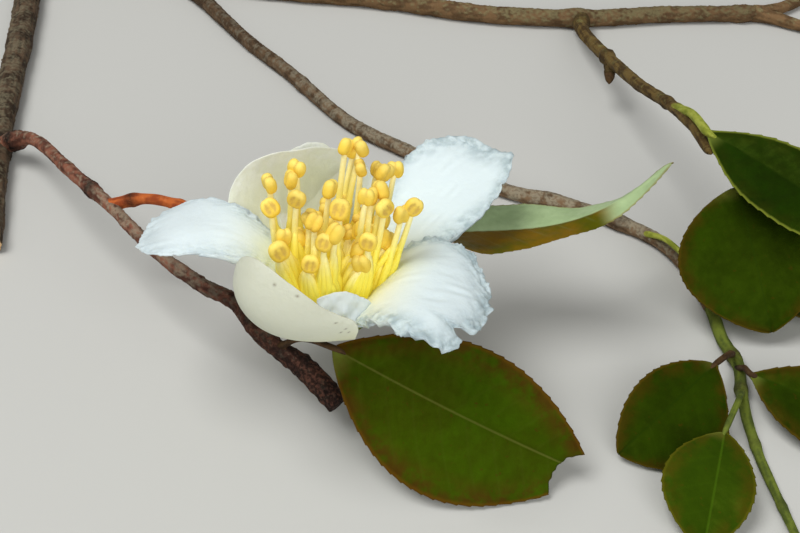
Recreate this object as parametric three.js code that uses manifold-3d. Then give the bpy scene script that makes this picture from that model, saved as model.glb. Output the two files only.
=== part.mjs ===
// A cut flowering branch of a tea bush, lying on a level floor.
// Millimetres, +Z up. The branch lies in the plane of X and Y: its cut end is at the back left, its open
// flower near the middle, and its leafy shoots at the right.
import * as THREE from 'three';
import { mergeVertices } from 'three/addons/utils/BufferGeometryUtils.js';
import Module from 'manifold-3d';

const wasm = await Module();
wasm.setup();

// The origin is on the floor, under the middle of the branch's box.
const MIDDLE = [10.95, 49.74, 0];

// Driving dimensions of the wood.
const GAP = 0.4; // clear space between two neighbouring solids
const COLLAR = 0.25; // how much wider a limb is at its foot, as a part of its radius
const COLLAR_REACH = 0.08; // the part of a limb's length that the collar takes
const PETIOLE_RADIUS = 0.6;
const BUD_STRETCH = 2.1; // length of a bud over its width

// Driving dimensions of the leaves and petals.
const LEAF_THICK = 0.5;
const LEAF_STEPS = [9, 4]; // along the midrib, across the blade
const LEAF_ENDS = [0.015, 0.985]; // the blade stops just short of its two points
const PETAL_THICK = 0.5;
const PETAL_STEPS = [7, 8]; // from the claw to the rim, from side to side

// The flower: the middle of the ring of stamens, and the way that the flower looks.
const FLOWER = [-7.0, -2.2, 18.6];
const FLOWER_AXIS = [0.153, 0.136, 0.979];
const STAMEN_RINGS = [
  { count: 6, foot: 1.2, top: 2.3, height: 16, turn: 20 },
  { count: 11, foot: 2.5, top: 5.0, height: 15.2, turn: 4 },
  { count: 13, foot: 3.3, top: 7.5, height: 13, turn: 12 },
];
const STAMEN_FLARE = 0.5; // they spread near their feet and then stand up
const STAMEN_LEAN = -1.4; // how far their tops lean towards -X
const FILAMENT = { radius: [0.42, 0.28], steps: 2, sides: 4, root: 0.5 };
const ANTHER = { long: 1.2, wide: 0.9 };
// Outlines turned about the flower's axis: distance from it, height along it.
const STAMEN_FOOT = [[0, -0.9], [2.2, -0.9], [2.7, -0.5], [4.2, 1.3], [3.2, 1.5], [0, 0.6]];
const CALYX = [[0, -4.3], [1.3, -4.2], [2.7, -3.5], [3.3, -2.6], [2.9, -1.9], [1.6, -1.5], [0, -1.4]];

// Limbs: points of the middle line, the radius at its two ends, the limb that it grows from, and the solids
// that its own solid is cut clear of.
const LIMBS = {
  main_stem: {
    path: [[-72, 126, 2.3], [-67.5, 106, 2.2], [-64.5, 85, 2.1], [-62.5, 66, 2], [-60.5, 49, 1.9],
      [-56.5, 27, 1.7]],
    radius: [2.3, 1.7], steps: 14, sides: 10, collar: 0,
  },
  rear_bough: {
    path: [[-67.5, 106.5, 2.3], [-50, 105, 1.8], [-20, 99, 1.65], [-4, 96.3, 1.6], [14, 91.2, 1.6],
      [31.5, 89.5, 1.6], [46, 91, 1.5], [63, 91.5, 1.4]],
    radius: [1.8, 1.35], steps: 18, sides: 9, clearOf: ['main_stem'],
  },
  rear_fork_near: {
    path: [[62, 91.5, 1.4], [66, 89.6, 1.3], [70, 87.2, 1.2], [75, 84.8, 1.2]],
    radius: [1.2, 0.8], steps: 6, sides: 7, bud: 1.1, clearOf: ['rear_bough'],
  },
  rear_fork_far: {
    path: [[62, 91.5, 1.4], [66, 93.2, 1.3], [70, 95.8, 1.2], [74.5, 100, 1.2]],
    radius: [1.2, 0.8], steps: 6, sides: 7, bud: 1.1, clearOf: ['rear_bough', 'rear_fork_near'],
  },
  rear_side_shoot: {
    path: [[31.5, 89.5, 1.6], [30.8, 81.8, 3.5], [32.4, 71, 6], [35.3, 53, 11.2], [37.8, 42, 14.8],
      [39.2, 33, 17.2], [39.8, 26.5, 18.2]],
    radius: [1.15, 0.75], steps: 14, sides: 7, bud: 0.9, clearOf: ['rear_bough'],
  },
  bud_spur: {
    path: [[33.1, 66.5, 7.2], [32.9, 63.5, 6.6], [32.4, 61.2, 6.1]],
    radius: [0.7, 0.5], steps: 3, sides: 6, bud: 0.9, clearOf: ['rear_side_shoot'],
  },
  middle_bough: {
    path: [[-40, 103.2, 1.7], [-34.5, 95.8, 1.4], [-26, 82.7, 1.2], [-18, 72.2, 1.15], [-8.6, 58.7, 1.1],
      [0.9, 50.3, 1.1], [15.5, 40.2, 1.1], [22.8, 37.6, 1.1], [34, 30.4, 1.1], [38.5, 24, 1.1],
      [40.6, 15, 1.1]],
    radius: [1.2, 0.95], steps: 24, sides: 8, clearOf: ['rear_bough'],
  },
  lower_shoot: {
    path: [[40.65, 14.6, 1.1], [40.9, 9.2, 1.2], [41.2, 7.2, 1.3], [42, 3.6, 1.4], [41.6, -0.6, 1.2],
      [41.4, -5.2, 1], [41.7, -10.8, 0.85], [42.4, -16, 0.75], [43.2, -21.2, 0.7], [43.8, -25, 0.8]],
    radius: [0.9, 0.55], steps: 16, sides: 7, collar: 0, bud: 0.75, clearOf: ['middle_bough'],
  },
  flowering_bough: {
    path: [[-60.4, 49.5, 2.4], [-57.6, 48.6, 4.6], [-53, 43.5, 7.5], [-44, 29.5, 10], [-37.8, 23, 11.5],
      [-30.5, 13.5, 11.6], [-24.2, 8, 10.8], [-20, 5.5, 10.3], [-16, 0.6, 8.9], [-11.4, -2.1, 6.6],
      [-7.2, -5.8, 4.4]],
    radius: [1, 1.4], steps: 20, sides: 8, clearOf: ['main_stem'],
  },
  flowering_shoot: {
    path: [[-38, 23.2, 11.4], [-33, 22.3, 13.2], [-27.7, 19.7, 14], [-20, 16, 13.6], [-12, 13.2, 13],
      [-4, 12.8, 12.4]],
    radius: [0.72, 0.6], steps: 14, sides: 7, bud: 0.8, clearOf: ['flowering_bough'],
  },
  flower_stalk: {
    path: [[-14, 13.8, 13.2], [-12.4, 9, 11.6], [-9.6, 3, 11.3], [-8.2, -1.6, 12.1], [-7.8, -2.85, 13.4]],
    radius: [0.7, 0.85], steps: 10, sides: 7, clearOf: ['flowering_shoot'],
  },
};

// Leaves: the blade's two points, its upper side, its half widths left and right of the midrib, how full each
// half is near the foot, how it bows, folds and twists, and the stalk that carries it.
const LEAVES = {
  leaf_front: {
    base: [-7.6, -6, 13.6], tip: [21.6, -14.7, 1.9], up: [0, -0.766, 0.643], half: [8.1, 9.9], full: [1, 0.9],
    bow: 0.8, sweep: -0.4, stalk: [[-14.6, -0.4, 8.2], [-11.4, -2.6, 11.8], [-7.2, -6.1, 13.5]],
    on: 'flowering_bough',
    bite: { at: [22.2, -15.2, 1.6], radius: 3.2 },
  },
  leaf_behind_flower: {
    base: [4, 13, 12.5], tip: [33.5, 20.4, 19.8], up: [0, 0.61, 0.79], half: [6.5, 6.5], full: [0.95, 0.95],
    round: 0.9, bow: -3, fold: [28, 10], twist: -45, on: 'flowering_shoot',
    stalk: [[-7, 13.1, 12.7], [-3.4, 13.8, 14], [0.6, 13.5, 13.4], [4.6, 13.1, 12.1]],
  },
  leaf_upper_right: {
    base: [41, 26, 20.2], tip: [59.2, 7.5, 16.5], up: [-0.1, -0.5, 0.86], half: [5, 5.5], bow: 1.2,
    fold: [8, 8], stalk: [[38.2, 40.4, 15.3], [39.8, 34, 19.2], [41.3, 25.7, 20.3]], on: 'rear_side_shoot',
  },
  leaf_right: {
    base: [42.9, 21.5, 15.7], tip: [47, 8.6, 2.3], up: [-0.1, -0.72, 0.69], half: [9.7, 9.7],
    full: [0.9, 0.9], round: 0.7, bow: 1, stalk: [[39.7, 29, 17.8], [41.6, 26, 17], [43, 21.2, 15.4]], on: 'rear_side_shoot',
  },
  leaf_middle: {
    base: [38.5, 21, 4], tip: [62, 12.5, 1.2], up: [0, -0.1, 0.98], half: [5.5, 5.5], bow: 0.6,
    stalk: [[34, 30.4, 1.1], [36.2, 26, 3.4], [39, 20.8, 4]], on: 'middle_bough',
  },
  leaf_low_left: {
    base: [37.7, -0.5, 5.6], tip: [25.6, -10.6, 1.2], up: [0.05, -0.5, 0.86], half: [6.8, 4.5],
    full: [0.8, 1], round: 0.7, bow: 0.6, stalk: [[41.6, 5.6, 1.35], [40.2, 2.4, 4.6], [37.2, -0.9, 5.5]], on: 'lower_shoot',
  },
  leaf_low: {
    base: [37.8, -10.5, 4.7], tip: [33.4, -22.2, 0.9], up: [-0.1, -0.4, 0.9], half: [4, 5.5], round: 0.7,
    bow: 0.6, stalk: [[41.5, -0.8, 1.2], [40, -5.6, 4.7], [37.6, -11.1, 4.7]], on: 'lower_shoot',
  },
  leaf_low_right: {
    base: [43.8, -0.8, 4], tip: [59, -8, 1], up: [0, -0.4, 0.9], half: [5.5, 5], bow: 1,
    stalk: [[41.9, 3, 1.4], [42.6, 1.2, 3.6], [44.4, -1.1, 4]], on: 'lower_shoot',
  },
  leaf_rear_near: {
    base: [78, 82, 3.2], tip: [96, 72, 1], up: [0, 0, 1], half: [5.5, 5.5], bow: 1.4,
    stalk: [[72.6, 86, 1.2], [75.6, 83, 3], [78.6, 81.7, 3.2]], on: 'rear_fork_near',
  },
  leaf_rear_far: {
    base: [76.5, 103.4, 3.2], tip: [91, 118, 1], up: [0, 0, 1], half: [5.5, 5.5], bow: 1.4,
    stalk: [[71.8, 97.2, 1.2], [74.6, 101.6, 3], [77, 103.9, 3.2]], on: 'rear_fork_far',
  },
};

// Petals: the way that they point round the flower, their length and half width, the slope of the middle line
// at the claw and at the rim, the bend of each side, and the place of the claw.
const PETALS = {
  petal_left: {
    turn: 166, length: 19.6, half: 11, slope: [43, -20], cup: -14, claw: [4.6, -2.1], narrow: 0.1, spread: 0.95,
    roll: 0.05, skew: 0.03,
  },
  petal_back_left: {
    turn: 136, length: 16.5, half: 12.5, slope: [25, 75], cup: 45, claw: [3.4, -0.6], narrow: 0.07, spread: 0.6,
  },
  petal_back: {
    turn: 109, length: 16.6, half: 6.5, slope: [36, 70], cup: 12, claw: [5.7, -2.4], narrow: 0.12, spread: 0.6,
  },
  petal_right_back: {
    turn: 53, length: 25.4, half: 11.6, slope: [15, 43], cup: 12, claw: [3.4, -0.7], narrow: 0.07, spread: 0.8,
    skew: -0.03,
  },
  petal_front_right: {
    turn: 6, length: 14, half: 13.4, slope: [20, 18], cup: 6, claw: [4.4, -1.9], narrow: 0.1, spread: 0.5,
    lobes: [[-0.5, 0.13, -0.1]],
  },
  petal_front_left: {
    turn: -118, length: 16.8, half: 10.8, slope: [-18, 116], cup: 60, claw: [3.3, -1], narrow: 0.1, spread: 0.5,
  },
};
const PETAL_SQUARENESS = 2.2; // 2 would be an ellipse's end
const PETAL_RIM = 0.93; // how much of that end's width is used, so that the sides keep some length

const COLOURS = {
  bark: ['#6f5a48', 0.85], redBark: ['#7d4a38', 0.7], greenShoot: ['#6f7a35', 0.6], orangeShoot: ['#b5552f', 0.5],
  leaf: ['#3d5a1c', 0.4], petal: ['#eef1ee', 0.6], stamens: ['#e8c33c', 0.55], calyx: ['#7d8a3c', 0.6],
};
const radians = THREE.MathUtils.degToRad;
const vector = (p) => new THREE.Vector3(...p);

// A closed solid from a grid of points that goes round in each row, with a middle point at each end.
function closedRings(rings, first, last) {
  const sides = rings[0].length;
  const points = [first, ...rings.flat(), last];
  const end = points.length - 1;
  const faces = [];
  for (let j = 0; j < sides; j += 1) {
    const k = (j + 1) % sides;
    faces.push(0, 1 + k, 1 + j);
    for (let i = 0; i < rings.length - 1; i += 1) {
      const a = 1 + i * sides;
      const b = a + sides;
      faces.push(a + j, a + k, b + k, a + j, b + k, b + j);
    }
    const top = end - sides;
    faces.push(end, top + j, top + k);
  }
  return closedGeometry(points, faces);
}

function closedGeometry(points, faces) {
  const geometry = new THREE.BufferGeometry();
  geometry.setAttribute('position', new THREE.Float32BufferAttribute(points.flatMap((p) => [p.x, p.y, p.z]), 3));
  geometry.setIndex(faces);
  return geometry;
}

// A limb: circles along a smooth curve, their radius going evenly from foot to tip with a collar at the foot.
function limbGeometry({ path, radius, steps, sides, collar = COLLAR }, extra = 0) {
  const curve = new THREE.CatmullRomCurve3(path.map(vector), false, 'catmullrom', 0.5);
  const { normals, binormals } = curve.computeFrenetFrames(steps, false);
  const rings = [];
  const ends = [0, 1].map((t) => curve.getPointAt(t).addScaledVector(curve.getTangentAt(t), t ? extra : -extra));
  for (let i = 0; i <= steps; i += 1) {
    const t = i / steps;
    const swell = 1 + collar * Math.exp(-((t / COLLAR_REACH) ** 2));
    const r = THREE.MathUtils.lerp(radius[0], radius[1], t) * swell + extra;
    const centre = t % 1 ? curve.getPointAt(t) : ends[t];
    rings.push(Array.from({ length: sides }, (_, j) => {
      const angle = (2 * Math.PI * j) / sides;
      return centre.clone()
        .addScaledVector(normals[i], r * Math.cos(angle))
        .addScaledVector(binormals[i], r * Math.sin(angle));
    }));
  }
  return closedRings(rings, ...ends);
}

// A pointed bud that sits on the tip of a limb.
function budGeometry({ path, bud }, extra = 0) {
  const tip = vector(path.at(-1));
  const along = tip.clone().sub(vector(path.at(-2))).normalize();
  const geometry = new THREE.SphereGeometry(bud + extra, 7, 5);
  geometry.scale(1, BUD_STRETCH, 1);
  geometry.applyQuaternion(new THREE.Quaternion().setFromUnitVectors(new THREE.Vector3(0, 1, 0), along));
  geometry.translate(...tip.addScaledVector(along, 0.6 * bud));
  return geometry;
}

// A thin closed shell on both sides of a surface that is given on a grid.
function shellGeometry(surface, [rows, columns], thick) {
  const width = columns + 1;
  const grid = [];
  for (let i = 0; i <= rows; i += 1) {
    for (let j = 0; j <= columns; j += 1) grid.push(surface(i / rows, (2 * j) / columns - 1));
  }
  const at = (i, j) => grid[THREE.MathUtils.clamp(i, 0, rows) * width + THREE.MathUtils.clamp(j, 0, columns)];
  const upper = [];
  const lower = [];
  for (let i = 0; i <= rows; i += 1) {
    for (let j = 0; j <= columns; j += 1) {
      const alongRow = at(i, j + 1).clone().sub(at(i, j - 1));
      const alongBlade = at(i + 1, j).clone().sub(at(i - 1, j));
      const normal = alongBlade.cross(alongRow).normalize();
      upper.push(at(i, j).clone().addScaledVector(normal, thick / 2));
      lower.push(at(i, j).clone().addScaledVector(normal, -thick / 2));
    }
  }
  const faces = [];
  const quad = (a, b, c, d) => faces.push(a, b, c, a, c, d);
  const under = grid.length;
  for (let i = 0; i < rows; i += 1) {
    for (let j = 0; j < columns; j += 1) {
      const a = i * width + j;
      quad(a, a + width, a + width + 1, a + 1);
      quad(under + a, under + a + 1, under + a + width + 1, under + a + width);
    }
    const left = i * width;
    const right = left + columns;
    quad(left, under + left, under + left + width, left + width);
    quad(right, right + width, under + right + width, under + right);
  }
  for (let j = 0; j < columns; j += 1) {
    const last = rows * width + j;
    quad(j, j + 1, under + j + 1, under + j);
    quad(last, under + last, under + last + 1, last + 1);
  }
  return closedGeometry([...upper, ...lower], faces);
}

// A leaf's surface: the midrib bows from base to tip, and each half's width goes as a power of a sine, folded
// up from the midrib; the blade turns about the midrib on its way to the tip.
function leafSurface({ base, tip, up, half, full = [1, 1], round = 0.8, bow = 0, sweep = 0, fold = [6, 6], twist = 0 }) {
  const foot = vector(base);
  const span = vector(tip).sub(foot);
  const along = span.clone().normalize();
  const normal = vector(up).addScaledVector(along, -vector(up).dot(along)).normalize();
  const side = normal.clone().cross(along);
  return (u, v) => {
    const s = THREE.MathUtils.lerp(...LEAF_ENDS, u);
    const turn = radians(twist) * s;
    const n = normal.clone().multiplyScalar(Math.cos(turn)).addScaledVector(side, Math.sin(turn));
    const w = side.clone().multiplyScalar(Math.cos(turn)).addScaledVector(normal, -Math.sin(turn));
    const which = v >= 0 ? 0 : 1;
    const reach = Math.abs(v) * half[which] * Math.sin(Math.PI * s ** full[which]) ** round;
    const lift = radians(THREE.MathUtils.lerp(fold[0], fold[1], s));
    const arch = 4 * s * (1 - s);
    return foot.clone().addScaledVector(span, s)
      .addScaledVector(normal, bow * arch).addScaledVector(side, sweep * arch)
      .addScaledVector(w, Math.sign(v) * reach * Math.cos(lift)).addScaledVector(n, reach * Math.sin(lift));
  };
}

// The flower's own directions: out along +X and +Y of its plane, and up its axis.
const flowerUp = vector(FLOWER_AXIS).normalize();
const flowerEast = new THREE.Vector3(1, 0, 0).addScaledVector(flowerUp, -flowerUp.x).normalize();
const flowerNorth = flowerUp.clone().cross(flowerEast);
function flowerPoint(angle, out, height, sideways = 0) {
  const east = out * Math.cos(angle) - sideways * Math.sin(angle);
  const north = out * Math.sin(angle) + sideways * Math.cos(angle);
  return vector(FLOWER).addScaledVector(flowerEast, east).addScaledVector(flowerNorth, north)
    .addScaledVector(flowerUp, height);
}

// A petal's surface: its middle line is an arc whose slope goes evenly from claw to rim, it widens from a
// narrow claw to a broad round rim, and its two sides bend up, or down where the cup is negative.
function petalSurface({ turn, length, half, slope, cup, claw, narrow, spread, roll = 0, skew = 0, lobes = [] }) {
  const [first, last] = slope.map(radians);
  return (u, v) => {
    const end = (1 - Math.abs(PETAL_RIM * v) ** PETAL_SQUARENESS) ** (1 / PETAL_SQUARENESS) * (1 + skew * v);
    const lobed = lobes.reduce((sum, [place, wide, deep]) => sum + deep * Math.exp(-(((v - place) / wide) ** 2)), end);
    const run = u * lobed;
    const angle = first + (last - first) * run;
    const bend = radians(cup) * run + 1e-6;
    const width = half * (narrow + (1 - narrow) * run ** spread);
    const sideways = (width * Math.sin(v * bend)) / bend;
    const lift = (width * (1 - Math.cos(v * bend))) / bend + roll * v * width;
    const out = claw[0] + (length * (Math.sin(angle) - Math.sin(first))) / (last - first) - lift * Math.sin(angle);
    const height = claw[1] - (length * (Math.cos(angle) - Math.cos(first))) / (last - first) + lift * Math.cos(angle);
    return flowerPoint(radians(turn), out, height, sideways);
  };
}

// A shape turned about the flower's axis.
function turnedGeometry(outline, sides) {
  const geometry = new THREE.LatheGeometry(outline.map(([r, h]) => new THREE.Vector2(r, h)), sides);
  geometry.applyQuaternion(new THREE.Quaternion().setFromUnitVectors(new THREE.Vector3(0, 1, 0), flowerUp));
  geometry.translate(...FLOWER);
  return geometry;
}

// Between three's geometries and solids that can be joined and cut.
function toSolid(geometry) {
  const bare = geometry.clone();
  bare.deleteAttribute('normal');
  bare.deleteAttribute('uv');
  const merged = mergeVertices(bare, 1e-4);
  return new wasm.Manifold(new wasm.Mesh({
    numProp: 3,
    vertProperties: new Float32Array(merged.attributes.position.array),
    triVerts: new Uint32Array(merged.index.array),
  }));
}

function toGeometry(solid) {
  const { vertProperties, triVerts } = solid.getMesh();
  const geometry = new THREE.BufferGeometry();
  geometry.setAttribute('position', new THREE.BufferAttribute(new Float32Array(vertProperties), 3));
  geometry.setIndex(new THREE.BufferAttribute(new Uint32Array(triVerts), 1));
  return geometry;
}

const joined = (solids) => solids.reduce((all, solid) => all.add(solid));

// Each kind of piece as one solid. A limb that is swollen by the gap is what its neighbours are cut clear of.
function limbWithBud(spec, extra = 0) {
  const parts = [toSolid(limbGeometry(spec, extra))];
  if (spec.bud) parts.push(toSolid(budGeometry(spec, extra)));
  return joined(parts);
}

function clearOf(solid, names) {
  return names.reduce((rest, name) => rest.subtract(limbWithBud({ ...LIMBS[name], sides: 12 }, GAP)), solid);
}

const limbSolid = (spec) => clearOf(limbWithBud(spec), spec.clearOf ?? []);

function leafSolid(spec) {
  const blade = toSolid(shellGeometry(leafSurface(spec), LEAF_STEPS, LEAF_THICK));
  const stalk = toSolid(limbGeometry({ path: spec.stalk, radius: [PETIOLE_RADIUS, PETIOLE_RADIUS], steps: 5, sides: 6 }));
  let solid = blade.add(stalk);
  if (spec.bite) {
    const hole = new THREE.SphereGeometry(spec.bite.radius, 10, 8).translate(...spec.bite.at);
    solid = solid.subtract(toSolid(hole));
  }
  return clearOf(solid, [spec.on]);
}

function stamensSolid() {
  const parts = [toSolid(turnedGeometry(STAMEN_FOOT, 12))];
  for (const { count, foot, top, height, turn } of STAMEN_RINGS) {
    for (let k = 0; k < count; k += 1) {
      const angle = radians(turn + (360 * k) / count);
      const path = [0, 0.5, 1].map((t) => {
        const h = THREE.MathUtils.lerp(FILAMENT.root, height, t);
        const point = flowerPoint(angle, foot + (top - foot) * t ** STAMEN_FLARE, h);
        return point.setX(point.x + STAMEN_LEAN * t).toArray();
      });
      parts.push(toSolid(limbGeometry({ path, ...FILAMENT, collar: 0 })));
      const anther = new THREE.SphereGeometry(ANTHER.wide, 5, 4);
      anther.scale(1, ANTHER.long / ANTHER.wide, 1);
      parts.push(toSolid(anther.translate(...path.at(-1))));
    }
  }
  return joined(parts);
}

const group = new THREE.Group();
group.position.set(-MIDDLE[0], -MIDDLE[1], -MIDDLE[2]);

function addPiece(name, solid, [colour, roughness]) {
  const mesh = new THREE.Mesh(toGeometry(solid), new THREE.MeshStandardMaterial({ color: colour, roughness, metalness: 0 }));
  mesh.name = name;
  group.add(mesh);
}

const LIMB_COLOURS = {
  flowering_bough: COLOURS.redBark, flowering_shoot: COLOURS.orangeShoot, flower_stalk: COLOURS.greenShoot,
  lower_shoot: COLOURS.greenShoot,
};
for (const [name, spec] of Object.entries(LIMBS)) addPiece(name, limbSolid(spec), LIMB_COLOURS[name] ?? COLOURS.bark);
for (const [name, spec] of Object.entries(LEAVES)) addPiece(name, leafSolid(spec), COLOURS.leaf);
for (const [name, spec] of Object.entries(PETALS)) {
  addPiece(name, toSolid(shellGeometry(petalSurface(spec), PETAL_STEPS, PETAL_THICK)), COLOURS.petal);
}
addPiece('calyx', toSolid(turnedGeometry(CALYX, 12)), COLOURS.calyx);
addPiece('stamens', stamensSolid(), COLOURS.stamens);

export default group;
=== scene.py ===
"""A cut flowering branch of a tea bush, lying on a pale floor.

The tables below hold sizes and places in millimetres, in the branch's own drawing, whose floor is z = 0.
Each mesh is moved by MIDDLE and turned into metres as it is made, so that it lies in the frame of the solids.
"""
import math

import bpy
import numpy as np
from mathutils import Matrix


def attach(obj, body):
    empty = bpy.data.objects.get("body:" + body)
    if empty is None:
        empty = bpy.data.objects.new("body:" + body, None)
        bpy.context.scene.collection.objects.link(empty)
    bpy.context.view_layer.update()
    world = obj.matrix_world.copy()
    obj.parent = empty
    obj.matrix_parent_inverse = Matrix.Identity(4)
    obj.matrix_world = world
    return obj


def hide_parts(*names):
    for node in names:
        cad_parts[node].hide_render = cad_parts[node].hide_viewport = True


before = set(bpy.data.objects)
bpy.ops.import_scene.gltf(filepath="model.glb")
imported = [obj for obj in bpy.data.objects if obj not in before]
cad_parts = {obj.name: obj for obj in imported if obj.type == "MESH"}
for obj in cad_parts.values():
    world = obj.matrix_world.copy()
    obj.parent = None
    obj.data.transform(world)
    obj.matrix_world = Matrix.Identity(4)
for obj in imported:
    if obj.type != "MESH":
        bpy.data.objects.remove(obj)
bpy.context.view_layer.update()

MIDDLE = np.array([10.95, 49.74, 0.0])
METRES = 0.001
LOWEST = 0.03  # nothing on the branch comes nearer to the floor than this
CURVE_STEPS = 40  # between two points of a path
SEEDS = dict(limb=100, bud=300, leaf=400, stalk=700, petal=800, fold=990, thread=1000, anther=1100,
             sepal=1200, spares=77)
WAVES = 10  # sine waves that make up one smooth noise
WAVE_NUMBERS = (0.65, 1.5)  # the range of their wave numbers, over that of the noise's size

# Sizes of the wood

COLLAR = 0.25  # how much wider a limb is at its foot, as a part of its radius
COLLAR_REACH = 0.08  # the part of a limb's length that the collar takes
BARK_STEP = 0.3  # between two rings of a limb's mesh
BARK_AROUND = 0.22  # between two points of a ring
FEWEST_AROUND = 16  # points in a ring of the thinnest limb
# Noise on the bark: how much a distance along the limb counts, and the noise's size. Where it counts less the
# noise is drawn out lengthwise.
BARK_NOISE = dict(furrow=(0.16, 0.75), lump=(0.6, 2.2), grain=(1, 0.55), wart=(0.7, 0.7), patch=(1, 2.2),
                  spot=(1, 0.8), gnarl=(1, 1.1))
BARK_DEPTH = dict(furrow=0.055, lump=0.07, grain=0.02, wart=0.09, crust=0.05, gnarl=0.16, cleft=0.1)
WART_STEP = (0.75, 1.25)
# Lichen: how far noise, the upper side and the limb's own amount decide where a crust grows.
LICHEN = dict(noise=0.55, upper=0.6, amount=1.3, step=(1.1, 1.7), least=0.02)
SAWN_RINGS = (0.25, 0.55, 0.8, 0.94)  # rings on a sawn end, as parts of its size
SAWN_BULGE = 0.06
# Buds: half the length over the greatest radius, how far the middle stands past the limb's tip, how often the
# scales go round, and how deep their edges are.
BUD = dict(mesh=(44, 32), ends=(0.02, 0.995), stretch=2.1, seat=0.6, spirals=3.2, scales=(0.93, 1.05),
           crease=0.9)

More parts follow.
